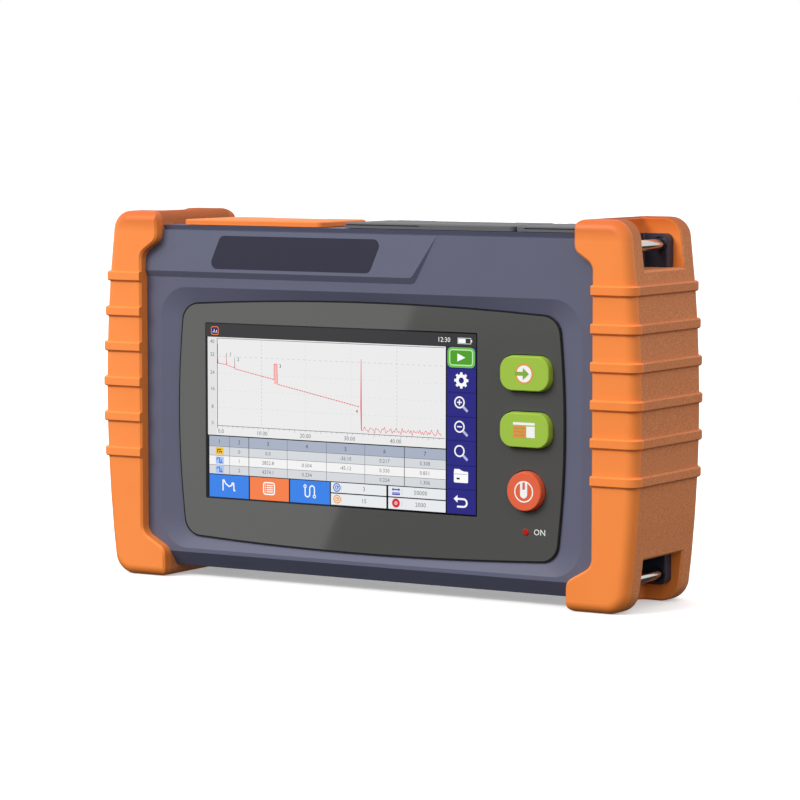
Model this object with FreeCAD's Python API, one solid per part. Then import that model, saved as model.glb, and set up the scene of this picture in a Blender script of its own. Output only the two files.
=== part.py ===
import FreeCAD, Part
import os
from math import atan2, cos, hypot, pi, radians, sin, tan
from FreeCAD import Vector

os.makedirs("parts", exist_ok=True)

# Hand-held optical time domain reflectometer. Millimetres, +Z up, front facing -Y.
# The origin is under the middle of the instrument, on the surface that it stands on.

# ---- driving dimensions -------------------------------------------------------------------------
HEIGHT = 168.3            # over the rubber bumpers
DEPTH = 65.2              # over the bumpers, without their ribs
HALF_WIDTH = 139.05       # to the crown of a bumper's side, without its ribs
CROWN = 6.05              # how far that side bows out between its ends
RIB_PROUD, RIB_HEIGHT, RIB_PITCH, RIB_COUNT = 1.25, 4.5, 16.24, 6
RIB_FIRST_Z = 138.2       # middle of the highest rib

BUMPER_FRONT, BUMPER_BACK = -DEPTH / 2, DEPTH / 2
FACE = BUMPER_FRONT + 5.4         # front face of the moulded case
PANEL = FACE + 1.3                # outer face of the front panel
BACK = BUMPER_BACK - 2.5          # rear face of the case
SPLIT, SEAM = PANEL + 24.0, 0.6   # parting plane of the case, and its groove's width
CASE_TOP, CASE_BOTTOM, WALL = 162.0, 5.0, 2.5
POCKET_X, WING_X = 112.3, 119.0   # the case steps in to these at its corners, behind the strap notches
POCKET_LOW, POCKET_HIGH, SHOULDER = 27.4, 143.2, 25.0   # and slope in over this height under them
BUMPER_WALL, RIM_FRONT, RIM_BACK = 4.2, 4.6, 7.5
BROW = 2.3                # height of the groove along the front, under the port covers
PLATE_LOW, CREST, LIFT = 141.0, CASE_TOP - BROW - 0.05, 1.4   # wedge under the nameplate

STRIP_X = 117.6           # inner edge of a bumper's front strip, and of its two lobes
LOBE_HIGH_X, LOBE_HIGH_Z = 108.8, 156.0
LOBE_LOW_X, LOBE_LOW_Z = 105.2, 13.0

NOTCH_X = 115.5           # strap notch: inner wall, two ends, floor and ceiling
NOTCH_FRONT, NOTCH_BACK = PANEL + 7.0, PANEL + 44.0
NOTCH_FLOOR, NOTCH_CEILING = 146.6, 22.6
BRACKET_HEIGHT, BRACKET_BASE, LUG = 14.6, 3.0, 5.0
LUG_X, BAR_X, BAR_R, BAR_INSET = 130.4, 126.5, 2.5, 4.7

SCREEN_X, SCREEN_Z = -14.3, 77.6          # middle of the display window
SCREEN_W, SCREEN_H = 143.6, 80.4
PANEL_THICK, PANEL_GAP = 2.0, 0.45
SEAT = PANEL + PANEL_THICK                # floor that the panel lies on
SEAT_THICK = 2.2
KEY_X, ENTER_Z, MENU_Z, POWER_Z = 82.7, 101.2, 76.7, 50.1
KEY_W, KEY_H, KEY_CORNER, POWER_R = 25.0, 15.6, 6.2, 8.85
KEY_PROUD, KEY_TRAVEL, KEY_DRAFT, KEY_EDGE, KEY_GAP = 3.0, 0.8, 0.4, 0.35, 0.4
LED_X, LED_Z, LED_R = 82.1, 32.2, 1.6
GAP = 0.3                 # play round a key, a cover or the stand
FLANGE = 1.2              # reach and thickness of the keys' flanges, which end at the pads behind them
MAT = SEAT + SEAT_THICK + KEY_TRAVEL + FLANGE + GAP

COVER_UNDER, COVER_TOP = CASE_TOP + 0.25, 164.6
COVER_FRONT = PANEL + 1.5
HINGE_Y, HINGE_Z = PANEL + 43.0, 162.4
KNUCKLE_R, KNUCKLE_W, PIN_R = 2.2, 9.0, 0.8
OPTICAL_COVER_X = (-99.0, -24.5)
USB_COVER_X = (-12.4, 74.6)
DC_COVER_X = (75.4, 106.0)
TRAY_FRONT, TRAY_BACK, TRAY_FLOOR = PANEL + 7.0, PANEL + 37.0, 149.0
OPTICAL_TRAY_X = (-95.0, -29.0)
IO_TRAY_X = (-8.0, 102.0)
ADAPTER_X, ADAPTER_Y, BORE_R = (-83.0, -62.0, -41.0), PANEL + 22.0, 1.26

STAND_HALF, STAND_LEG, STAND_THICK = 62.0, 10.0, 3.6
STAND_LOW, STAND_AXIS_Z, STAND_AXIS_Y = 26.0, 108.0, BACK - 2.7
STAND_BARREL_R, STAND_PIN_R = 2.4, 1.0
SPEAKER_X, SPEAKER_Z = -92.0, 62.0
BOARD_Y, BOARD_LOW, BOARD_HIGH = PANEL + 12.0, 24.0, 136.0
DOOR_HALF, DOOR_LOW, DOOR_HIGH, DOOR_THICK = 47.0, 38.0, 99.0, 2.2
BAY_LOW, BAY_HIGH, DOOR_SCREW_X = DOOR_LOW + 3, DOOR_HIGH - 11, 40.0


# ---- small helpers ------------------------------------------------------------------------------
def bowed(start, end, bow, margin):
    """Corner between two others that turns the side from start to end into an arc, bow high."""
    length = hypot(end[0] - start[0], end[1] - start[1])
    reach = length / 2 - margin
    slope = bow / (length / 2 - reach / 2)
    out_a, out_b = (end[1] - start[1]) / length, (start[0] - end[0]) / length
    rise = slope * length / 2
    return ((start[0] + end[0]) / 2 + out_a * rise, (start[1] + end[1]) / 2 + out_b * rise, reach / slope)


def wire(corners, place):
    """Closed wire through (a, b, radius) corners with tangent arcs; place maps (a, b) to a point."""
    starts, mids, ends = [], [], []
    for i, (a, b, radius) in enumerate(corners):
        before, after = corners[i - 1], corners[(i + 1) % len(corners)]
        into, out = atan2(before[1] - b, before[0] - a), atan2(after[1] - b, after[0] - a)
        half = abs((out - into + pi) % (2 * pi) - pi) / 2
        reach = radius / tan(half)
        across = hypot(cos(into) + cos(out), sin(into) + sin(out)) or 1.0
        depth = (radius / sin(half) - radius) / across
        starts.append((a + reach * cos(into), b + reach * sin(into)))
        mids.append((a + depth * (cos(into) + cos(out)), b + depth * (sin(into) + sin(out))))
        ends.append((a + reach * cos(out), b + reach * sin(out)))
    edges = []
    for i, (a, b, radius) in enumerate(corners):
        if radius:
            edges.append(Part.Arc(place(*starts[i]), place(*mids[i]), place(*ends[i])).toShape())
        follow = starts[(i + 1) % len(corners)]
        if hypot(follow[0] - ends[i][0], follow[1] - ends[i][1]) > 1e-6:
            edges.append(Part.LineSegment(place(*ends[i]), place(*follow)).toShape())
    return Part.Wire(edges)


def front_wire(corners, y):
    return wire(corners, lambda x, z: Vector(x, y, z))


def front_prism(corners, y0, y1):
    """Solid with an outline drawn in the front view (x, z), from y0 to y1."""
    return Part.Face(front_wire(corners, y0)).extrude(Vector(0, y1 - y0, 0))


def plan_prism(corners, z0, z1):
    """Solid with an outline drawn from above (x, y), from z0 to z1."""
    return Part.Face(wire(corners, lambda x, y: Vector(x, y, z0))).extrude(Vector(0, 0, z1 - z0))


def side_prism(corners, x0, x1):
    """Solid with an outline drawn from the side (y, z), from x0 to x1."""
    return Part.Face(wire(corners, lambda y, z: Vector(x0, y, z))).extrude(Vector(x1 - x0, 0, 0))


def box(x0, x1, y0, y1, z0, z1):
    return Part.makeBox(x1 - x0, y1 - y0, z1 - z0, Vector(x0, y0, z0))


def rounded(x0, x1, z0, z1, radius):
    """Corners of a rounded rectangle."""
    return [(x0, z0, radius), (x1, z0, radius), (x1, z1, radius), (x0, z1, radius)]


def tube_x(x0, x1, y, z, radius):
    return Part.makeCylinder(radius, x1 - x0, Vector(x0, y, z), Vector(1, 0, 0))


def tube_y(y0, y1, x, z, radius):
    return Part.makeCylinder(radius, y1 - y0, Vector(x, y0, z), Vector(0, 1, 0))


def tube_z(z0, z1, x, y, radius):
    return Part.makeCylinder(radius, z1 - z0, Vector(x, y, z0), Vector(0, 0, 1))


def post_y(y0, y1, x, z, radius):
    """Six-sided boss for a screw or a board."""
    return front_prism([(x + radius * cos(pi * i / 3), z + radius * sin(pi * i / 3), 0) for i in range(6)], y0, y1)


def joined(shapes):
    return shapes[0].multiFuse(shapes[1:]).removeSplitter()


def mirrored(shape):
    return shape.mirror(Vector(0, 0, 0), Vector(1, 0, 0))


def soft_rims(shape, y_radii, x_from, x_to):
    """Round the front and back rims of a prism where they lie between two x values."""
    for y, radius in y_radii:
        rim = [edge for edge in shape.Edges if all(abs(end.Y - y) < 0.001 for end in edge.Vertexes)
               and any(x_from < end.X < x_to for end in edge.Vertexes)]
        shape = shape.makeFillet(radius, rim)
    return shape


def save(name, shape):
    shape.exportStep("parts/" + name + ".step")


# ---- moulded case: the envelope that its two halves and the bumpers share ------------------------
def side_x(z):
    """Half-width over a bumper's crowned side at height z."""
    return HALF_WIDTH - CROWN * ((z - HEIGHT / 2) / (HEIGHT / 2)) ** 2 * 0.92


def case_envelope(inset, face, pocket_y=(NOTCH_FRONT - 3, NOTCH_BACK + 3)):
    """The case's outside for inset 0, or its cavity for a wall's thickness."""
    top, bottom, back, wing = CASE_TOP - inset, CASE_BOTTOM + inset, BACK - inset, WING_X - inset
    low, high = POCKET_LOW + SHOULDER + inset, POCKET_HIGH - SHOULDER - inset
    side = side_x(high) - BUMPER_WALL - inset
    crown = bowed((side, low), (side, high), side_x(HEIGHT / 2) - side_x(high), 8.0)
    right = [(wing, bottom, 5.0), (wing, low - SHOULDER - 1, 0), (side, low, 0), crown, (side, high, 0),
             (wing, high + SHOULDER + 1, 0), (wing, top, 5.0)]
    left = [(-x, z, radius) for x, z, radius in reversed(right)]
    profile = [(face, bottom + 6.8, 0), (face, top - BROW, 0), (face + 1.8, top - BROW + 0.3, 0),
               (face + 0.8, top, 0), (back, top, 5.0), (back, bottom, 5.0), (face + 5.0, bottom, 0)]
    body = front_prism(right + left, FACE - 1, BACK + 1).common(side_prism(profile, -150, 150))
    for x0, x1 in ((-150, inset - POCKET_X), (POCKET_X - inset, 150)):
        for z0, z1 in ((-1, POCKET_LOW + inset), (POCKET_HIGH - inset, HEIGHT)):
            body = body.cut(box(x0, x1, pocket_y[0] - inset, pocket_y[1] + inset, z0, z1))
    return body


def bowed_frame(points, bows, radius):
    """Four-cornered outline whose sides bow out."""
    corners = []
    for i in range(4):
        start, end = points[i], points[(i + 1) % 4]
        corners += [start + (radius,), bowed(start, end, bows[i], radius + 2.0)]
    return corners


def panel_outline(gap):
    """The front panel's outline: wider at its top, with crowned sides."""
    low, high, low_half, high_half = 20.1 - gap, 125.9 + gap, 97.0 + gap, 98.0 + gap
    return bowed_frame([(-low_half, low), (low_half, low), (high_half, high), (-high_half, high)],
                       (2.9, 3.3, 3.4, 3.3), 8.5)


def dish_rim():
    """Outline in which the case's front face starts to slope in to the panel."""
    half, low, high = 109.8, 13.7, 133.7
    return bowed_frame([(-half, low), (half, low), (half, high), (-half, high)], (0.2, 0.2, 0.2, 0.2), 14.0)


def plateau():
    """Raised wedge that carries the nameplate: proud at its lower edge, flush at the top."""
    base = [(-118.0, 138.2, 0), (26.3, 138.2, 3.0), (37.7, CREST, 0), (-118.0, CREST, 0)]
    lifted = [(-118.0, PLATE_LOW, 0), (25.5, PLATE_LOW, 3.0), (35.5, CREST, 0), (-118.0, CREST, 0)]
    block = Part.makeLoft([front_wire(base, FACE), front_wire(lifted, FACE - LIFT)], True, True)
    wedge = [(FACE + 0.5, 138.0, 0), (FACE - LIFT, 138.0, 0), (FACE - LIFT, PLATE_LOW, 0),
             (FACE - 0.02, CREST, 0), (FACE + 0.5, CREST, 0)]
    return block.common(side_prism(wedge, -119, 40))


def plateau_end():
    """Seat for the wedge's left end in the bumper."""
    return side_prism([(FACE + 0.5, 138.2, 0), (FACE, 138.2, 0), (FACE - LIFT, PLATE_LOW, 0),
                       (FACE - 0.02, CREST, 0), (FACE + 0.5, CREST, 0)], -118.0, -100.0)


def nameplate(proud, deep):
    """Bare parallelogram plate let in to the wedge, from proud of its face to deep under it."""
    outline = front_prism([(-82.4, 142.6, 3.0), (3.6, 142.6, 3.0), (9.6, 157.6, 3.0),
                           (-76.4, 157.6, 3.0)], FACE - 3, FACE + 2)
    low_y, high_y = FACE - LIFT, FACE - 0.02
    slab = [(low_y - proud, PLATE_LOW, 0), (low_y + deep, PLATE_LOW, 0), (high_y + deep, CREST, 0),
            (high_y - proud, CREST, 0)]
    return outline.common(side_prism(slab, -90, 20))


def key_outline(z, gap):
    return rounded(KEY_X - KEY_W / 2 - gap, KEY_X + KEY_W / 2 + gap, z - KEY_H / 2 - gap,
                   z + KEY_H / 2 + gap, KEY_CORNER + gap)


def key_holes(y0, y1):
    """What the keys and the indicator pass through, between two depths."""
    holes = [front_prism(key_outline(z, KEY_GAP), y0, y1) for z in (ENTER_Z, MENU_Z)]
    holes.append(tube_y(y0, y1, KEY_X, POWER_Z, POWER_R + KEY_GAP))
    holes.append(tube_y(y0, y1, LED_X, LED_Z, LED_R))
    return holes


def window(grow, y0, y1):
    return front_prism(rounded(SCREEN_X - SCREEN_W / 2 - grow, SCREEN_X + SCREEN_W / 2 + grow,
                               SCREEN_Z - SCREEN_H / 2 - grow, SCREEN_Z + SCREEN_H / 2 + grow,
                               0.6 + grow), y0, y1)


ENVELOPE = case_envelope(0, FACE)
CAVITY = case_envelope(WALL, SEAT + SEAT_THICK, (-DEPTH, DEPTH))
SCREW_SPOTS = [(x, z) for x in (-104.0, 104.0) for z in (18.0, 150.0)] + [(-124.0, 84.0), (124.0, 84.0)]
SCREW_BOSSES = [post_y(SEAT + SEAT_THICK - 1, BACK - 1, x, z, 4.0) for x, z in SCREW_SPOTS]


def tray_opening(x_range, y0, y1):
    return box(x_range[0], x_range[1], y0, y1, TRAY_FLOOR - 3, CASE_TOP + 1)


def standoffs():
    """Posts on the case's front wall for the main board and the key board."""
    posts = [post_y(SEAT + SEAT_THICK - 1, BOARD_Y, x, z, 2.6) for x in (-90.0, 61.5)
             for z in (BOARD_LOW + 4, BOARD_HIGH - 5)]
    return posts + [post_y(SEAT + SEAT_THICK - 1, MAT + 2.4, x, z, 2.2) for x in (71.0, 94.0)
                    for z in (POWER_Z - 21, ENTER_Z + 13)]


def front_housing():
    body = ENVELOPE.common(box(-150, 150, FACE - 2, SPLIT - SEAM / 2, 0, HEIGHT)).cut(CAVITY)
    dish = Part.makeLoft([front_wire(dish_rim(), FACE - 0.001), front_wire(panel_outline(PANEL_GAP), PANEL + 1.0)],
                         True, True)
    bosses = [boss.common(box(-150, 150, SEAT, SPLIT - SEAM / 2, 0, HEIGHT)) for boss in SCREW_BOSSES]
    body = joined([body, plateau()] + bosses + standoffs())
    body = body.cut(dish).cut(front_prism(panel_outline(PANEL_GAP), PANEL, SEAT)).cut(nameplate(1.0, 0.6))
    holes = key_holes(PANEL, SEAT + 4) + [window(0.5, PANEL, SEAT + 4)]
    holes += [tray_opening(span, TRAY_FRONT, SPLIT) for span in (OPTICAL_TRAY_X, IO_TRAY_X)]
    holes += [tube_y(SEAT + 6, SPLIT, x, z, 1.3) for x, z in SCREW_SPOTS]
    for hole in holes:
        body = body.cut(hole)
    return body


def knuckle_spans(x_range, own):
    """X spans of a hinge's knuckles: own ones on the cover, the others on the case."""
    left, right = x_range[0] + 4.0, x_range[1] - 4.0
    if own:
        return [(left, left + KNUCKLE_W), (right - KNUCKLE_W, right)]
    left, right = left + KNUCKLE_W + GAP, right - KNUCKLE_W - GAP
    if right - left < 2 * KNUCKLE_W:
        return [(left, right)]
    return [(left, left + KNUCKLE_W), (right - KNUCKLE_W, right)]


def stand_outline(gap):
    half, top = STAND_HALF + gap, STAND_AXIS_Z
    return [(-half, STAND_LOW - gap, 8.0), (half, STAND_LOW - gap, 8.0), (half, top, 0), (-half, top, 0)]


def rear_housing():
    body = ENVELOPE.common(box(-150, 150, SPLIT + SEAM / 2, BACK + 2, 0, HEIGHT)).cut(CAVITY)
    bosses = [boss.common(box(-150, 150, SPLIT + SEAM / 2, BACK - 1, 0, HEIGHT)) for boss in SCREW_BOSSES]
    bed = box(-STAND_HALF - 9, STAND_HALF + 9, BACK - 7.5, BACK - 1, STAND_LOW - 5, STAND_AXIS_Z + 8)
    hinge_beds = [box(span[0], span[1], HINGE_Y - 4, HINGE_Y + 4, CASE_TOP - 6, CASE_TOP - 1)
                  for span in (OPTICAL_COVER_X, (USB_COVER_X[0], DC_COVER_X[1]))]
    body = joined([body, bed] + bosses + hinge_beds)
    holes = [tray_opening(span, SPLIT, TRAY_BACK) for span in (OPTICAL_TRAY_X, IO_TRAY_X)]
    lugs = []
    for span in (OPTICAL_COVER_X, USB_COVER_X, DC_COVER_X):
        holes.append(box(span[0] + 2, span[1] - 2, HINGE_Y - KNUCKLE_R - 0.5, HINGE_Y + KNUCKLE_R + 0.5,
                         HINGE_Z - KNUCKLE_R - 0.4, CASE_TOP + 5))
        for x0, x1 in knuckle_spans(span, False):
            barrel = tube_x(x0, x1, HINGE_Y, HINGE_Z, KNUCKLE_R)
            foot = box(x0, x1, HINGE_Y - KNUCKLE_R, HINGE_Y + KNUCKLE_R, HINGE_Z - KNUCKLE_R - 1, HINGE_Z)
            lugs.append(barrel.fuse(foot).cut(tube_x(x0, x1, HINGE_Y, HINGE_Z, PIN_R)))
    groove_y = BACK - STAND_THICK - 1.0
    frame = front_prism(stand_outline(GAP), groove_y, BACK + 1)
    inner = front_prism(rounded(-STAND_HALF + STAND_LEG + GAP, STAND_HALF - STAND_LEG - GAP,
                                STAND_LOW + STAND_LEG + GAP, STAND_AXIS_Z + 9, 4.0), groove_y, BACK + 1)
    holes.append(frame.cut(inner))
    finger = front_prism(rounded(-14, 14, STAND_LOW - 7, STAND_LOW + 3, 3.0), BACK - 4, BACK + 1)
    holes.append(finger)
    for side in (-1, 1):
        mid = side * (STAND_HALF - STAND_LEG / 2)
        half = STAND_LEG / 2 + GAP
        holes.append(box(mid - half, mid + half, STAND_AXIS_Y - 3.0, BACK + 1, STAND_AXIS_Z - 3.4,
                         STAND_AXIS_Z + 3.4))
        holes.append(tube_x(mid - half - 3, mid + half + 3, STAND_AXIS_Y, STAND_AXIS_Z, STAND_PIN_R))
    holes.append(front_prism(rounded(-DOOR_HALF - 0.1, DOOR_HALF + 0.1, DOOR_LOW - 0.1, DOOR_HIGH + 0.1, 4.0),
                             BACK - DOOR_THICK, BACK + 1))
    holes.append(box(-DOOR_HALF + 3, DOOR_HALF - 3, BACK - 9, BACK, BAY_LOW, BAY_HIGH))
    holes += [tube_y(BACK - 8.5, BACK, x, DOOR_HIGH - 6, 1.2) for x in (-DOOR_SCREW_X, DOOR_SCREW_X)]
    holes += [tube_y(SPLIT, BACK + 1, x, z, 1.6) for x, z in SCREW_SPOTS]
    holes += [tube_y(BACK - 2.6, BACK + 1, x, z, 3.0) for x, z in SCREW_SPOTS]
    for i in range(5):
        slot_x = SPEAKER_X + 3.6 * (i - 2)
        holes.append(front_prism(rounded(slot_x - 0.9, slot_x + 0.9, SPEAKER_Z - 7, SPEAKER_Z + 7, 0.8),
                                 BACK - 4, BACK + 1))
    for hole in holes:
        body = body.cut(hole)
    return joined([body] + lugs)



# ---- rubber bumpers, strap brackets and bars ------------------------------------------------------
def rib_z(i):
    return RIB_FIRST_Z - i * RIB_PITCH


def bumper_ribs():
    """C-shaped bands round the front strip, the side and the back."""
    bands = []
    for z in [rib_z(i) for i in range(RIB_COUNT)]:
        outer = side_x(z) + RIB_PROUD
        front, back = BUMPER_FRONT - RIB_PROUD, BUMPER_BACK + RIB_PROUD
        band = plan_prism([(STRIP_X, front, 0), (outer, front, RIM_FRONT + 0.8), (outer, back, RIM_BACK + 0.8),
                           (STRIP_X, back, 0)], z - RIB_HEIGHT / 2, z + RIB_HEIGHT / 2)
        ledges = [edge for edge in band.Edges
                  if len({round(end.Z, 3) for end in edge.Vertexes}) == 1 and edge.Vertexes[0].X > STRIP_X]
        bands.append(band.makeChamfer(0.6, ledges))
    return bands


def right_bumper():
    ends = ((BUMPER_FRONT, RIM_FRONT), (BUMPER_BACK, RIM_BACK))
    # The crown is straight from rib to rib, and turns under the ribs.
    side = [(side_x(z), z, 0) for z in (20.0, 38.0)] + [(side_x(rib_z(i)), rib_z(i), 0)
                                                       for i in reversed(range(RIB_COUNT))]
    block = front_prism([(60.0, 0, 0), (side_x(0), 0, 10.0)] + side + [(side_x(HEIGHT), HEIGHT, 9.0),
                        (60.0, HEIGHT, 0)], BUMPER_FRONT, BUMPER_BACK)
    lobes = front_prism([(LOBE_LOW_X, 0, 4.0), (150.0, 0, 0), (150.0, HEIGHT, 0), (LOBE_HIGH_X, HEIGHT, 4.0),
                         (LOBE_HIGH_X, LOBE_HIGH_Z - 1, 5.0), (STRIP_X, LOBE_HIGH_Z - 7, 5.0),
                         (STRIP_X, 20.0, 6.0), (LOBE_LOW_X, LOBE_LOW_Z, 5.0)], BUMPER_FRONT, BUMPER_BACK)
    inner = [edge for edge in lobes.Edges if abs(abs(edge.Vertexes[0].Y) - BUMPER_BACK) < 0.001
             and all(abs(end.Y - edge.Vertexes[0].Y) < 0.001 and end.X < 149 for end in edge.Vertexes)]
    body = soft_rims(block, ends, 61, 149).common(lobes.makeChamfer(0.9, inner))
    body = joined([body] + bumper_ribs()).cut(ENVELOPE)
    for low_z, high_z in ((NOTCH_FLOOR, HEIGHT + 5), (-5, NOTCH_CEILING)):
        body = body.cut(plan_prism([(NOTCH_X, NOTCH_FRONT, 2.5), (150.0, NOTCH_FRONT, 0),
                                    (150.0, NOTCH_BACK, 0), (NOTCH_X, NOTCH_BACK, 2.5)], low_z, high_z))
    mouth = [edge for edge in body.Edges if all(end.X > 130 and NOTCH_FRONT - 0.01 < end.Y < NOTCH_BACK + 0.01
                                                for end in edge.Vertexes)]
    return body.makeChamfer(0.9, mouth)


def strap_bracket(upper):
    """U-shaped bracket on the notch's inner wall; its two lugs hold the strap bar."""
    low = NOTCH_FLOOR if upper else NOTCH_CEILING - BRACKET_HEIGHT
    bar_z = low + BRACKET_HEIGHT - BAR_INSET if upper else low + BAR_INSET
    front, back = NOTCH_FRONT + GAP, NOTCH_BACK - GAP
    body = plan_prism([(NOTCH_X, front, 2.4), (LUG_X, front, 0), (LUG_X, front + LUG, 1.0),
                       (NOTCH_X + BRACKET_BASE, front + LUG, 1.0), (NOTCH_X + BRACKET_BASE, back - LUG, 1.0),
                       (LUG_X, back - LUG, 1.0), (LUG_X, back, 0), (NOTCH_X, back, 2.4)],
                      low, low + BRACKET_HEIGHT)
    cap = front_prism([(NOTCH_X - 1, low, 0), (LUG_X, low, 0.5 if upper else 3.0),
                       (LUG_X, low + BRACKET_HEIGHT, 3.0 if upper else 0.5),
                       (NOTCH_X - 1, low + BRACKET_HEIGHT, 0)], front - 1, back + 1)
    body = body.common(cap)
    ring = tube_y(front + LUG - 1.0, back - LUG + 1.0, BAR_X, bar_z, BAR_R + 1.0)
    return body.cut(ring).cut(tube_y(front + 1.0, back - 1.0, BAR_X, bar_z, BAR_R)), bar_z


def strap_bar(bar_z):
    bar = tube_y(NOTCH_FRONT + GAP + 1.0, NOTCH_BACK - GAP - 1.0, BAR_X, bar_z, BAR_R)
    return bar.makeChamfer(0.5, [edge for edge in bar.Edges if edge.Closed])


# ---- front panel, display and keys ---------------------------------------------------------------
def front_panel():
    body = front_prism(panel_outline(0), PANEL, SEAT)
    rim = [edge for edge in body.Edges if all(abs(end.Y - PANEL) < 0.001 for end in edge.Vertexes)]
    body = body.makeChamfer(0.3, rim)
    for hole in key_holes(PANEL - 1, SEAT + 1) + [window(0.1, PANEL - 1, SEAT + 1)]:
        body = body.cut(hole)
    return body


def touch_glass():
    return window(0.0, PANEL + 0.05, PANEL + 1.8)


def lcd_module():
    body = window(-0.4, PANEL + 1.8, SEAT + SEAT_THICK - 0.1)
    back = front_prism(rounded(SCREEN_X - SCREEN_W / 2 - 5, SCREEN_X + SCREEN_W / 2 + 5,
                               SCREEN_Z - SCREEN_H / 2 - 4, SCREEN_Z + SCREEN_H / 2 + 4, 1.0),
                       SEAT + SEAT_THICK, SEAT + SEAT_THICK + 3.4)
    step = window(-0.4, SEAT + SEAT_THICK - 0.2, SEAT + SEAT_THICK + 0.2)
    return joined([body, step, back])


def lcd_frame():
    """Pressed sheet-metal frame that holds the display module down."""
    y0 = SEAT + SEAT_THICK + 3.4
    half_w, half_h = SCREEN_W / 2 + 9, SCREEN_H / 2 + 5
    plate = front_prism(rounded(SCREEN_X - half_w, SCREEN_X + half_w, SCREEN_Z - half_h, SCREEN_Z + half_h, 3.0),
                        y0, y0 + 1.0)
    hole = front_prism(rounded(SCREEN_X - half_w + 14, SCREEN_X + half_w - 14, SCREEN_Z - half_h + 12,
                               SCREEN_Z + half_h - 12, 6.0), y0 - 1, y0 + 2)
    return plate.cut(hole)


def key_cap(outline):
    """Drafted key on a straight stem, with a flange that keeps it behind the case wall."""
    top, foot = PANEL - KEY_PROUD, SEAT + SEAT_THICK + GAP
    stem = front_prism(outline(0), PANEL, foot)
    cap = Part.makeLoft([front_wire(outline(0), PANEL), front_wire(outline(-KEY_DRAFT), top + KEY_EDGE),
                         front_wire(outline(-KEY_DRAFT - KEY_EDGE), top)], True, True)
    return joined([cap, stem, front_prism(outline(FLANGE), foot - GAP / 2, foot - GAP / 2 + FLANGE)])


def rounded_key(z):
    return key_cap(lambda gap: key_outline(z, gap))


def round_key():
    def outline(gap):
        radius = POWER_R + gap
        return rounded(KEY_X - radius, KEY_X + radius, POWER_Z - radius, POWER_Z + radius, radius - 0.001)
    return key_cap(outline)


def keypad_mat():
    """Silicone mat with one pad behind each key."""
    mat = front_prism(rounded(KEY_X - 15.5, KEY_X + 12.5, POWER_Z - 12, ENTER_Z + 11, 2.0), MAT + 1.2, MAT + 2.4)
    pads = [tube_y(MAT, MAT + 1.5, KEY_X, z, 5.0) for z in (ENTER_Z, MENU_Z, POWER_Z)]
    return joined([mat] + pads)


def key_board():
    return front_prism(rounded(KEY_X - 15.5, KEY_X + 12.5, POWER_Z - 24, ENTER_Z + 16, 1.0),
                       MAT + 2.4, MAT + 4.0)


def status_led():
    """Indicator lamp: a lens in the panel on a light pipe from the key board."""
    pipe = tube_y(PANEL - 0.4, MAT + 2.4, LED_X, LED_Z, LED_R - 0.05)
    return pipe.makeChamfer(0.3, [edge for edge in pipe.Edges if edge.Closed and edge.Vertexes[0].Y < PANEL])


# ---- boards, battery and optics inside the case --------------------------------------------------
def main_board():
    board = front_prism(rounded(-95.0, 66.0, BOARD_LOW, BOARD_HIGH, 2.0), BOARD_Y, BOARD_Y + 1.6)
    chips = [box(x - 9, x + 9, BOARD_Y + 1.6, BOARD_Y + 3.4, z - 9, z + 9) for x, z in ((-12, 118), (16, 118), (46, 118))]
    return joined([board] + chips)


def optical_module():
    """Screened box of laser, coupler and detector, with three pigtail stubs towards the ports."""
    body = box(-93.0, -33.0, BOARD_Y + 1.6, ADAPTER_Y + 8, 100.0, BOARD_HIGH - 1)
    stubs = [tube_z(BOARD_HIGH - 1, TRAY_FLOOR - 8.0, x, ADAPTER_Y, 1.5) for x in ADAPTER_X]
    return joined([body] + stubs)


def battery_pack():
    """Two flat cells side by side in one sleeve, behind the door."""
    cells = [front_prism(rounded(x0, x0 + 43.0, BAY_LOW + 0.5, BAY_HIGH - 0.5, 4.0), BACK - 20.2,
                         BACK - DOOR_THICK - 0.3) for x0 in (-43.5, 0.5)]
    web = box(-2.0, 2.0, BACK - 19.0, BACK - DOOR_THICK - 1.3, BAY_LOW + 6, BAY_HIGH - 6)
    return joined(cells + [web])


def battery_tray():
    """Open box on the back of the case wall that the pack lies in."""
    shell = box(-46.0, 46.0, BACK - 22.0, BACK - 7.5, BAY_LOW - 2, BAY_HIGH + 2)
    return shell.cut(box(-44.0, 44.0, BACK - 20.2, BACK, BAY_LOW, BAY_HIGH))


def speaker():
    rim = tube_y(BACK - WALL - 3.0, BACK - WALL, SPEAKER_X, SPEAKER_Z, 11.0)
    rim = rim.cut(tube_y(BACK - WALL - 0.8, BACK, SPEAKER_X, SPEAKER_Z, 9.5))
    return joined([rim, tube_y(BACK - WALL - 6.0, BACK - WALL - 3.0, SPEAKER_X, SPEAKER_Z, 6.0)])


def battery_door():
    plate = front_prism(rounded(-DOOR_HALF, DOOR_HALF, DOOR_LOW, DOOR_HIGH, 3.9), BACK - DOOR_THICK, BACK)
    for x in (-DOOR_SCREW_X, DOOR_SCREW_X):
        plate = plate.cut(tube_y(BACK - 3, BACK + 1, x, DOOR_HIGH - 6, 1.5))
        plate = plate.cut(tube_y(BACK - 1.3, BACK + 1, x, DOOR_HIGH - 6, 2.9))
    for i in range(4):
        z = DOOR_LOW + 4 + 2.4 * i
        plate = plate.cut(box(-12, 12, BACK - 0.7, BACK + 1, z, z + 1.2))
    return plate


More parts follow.
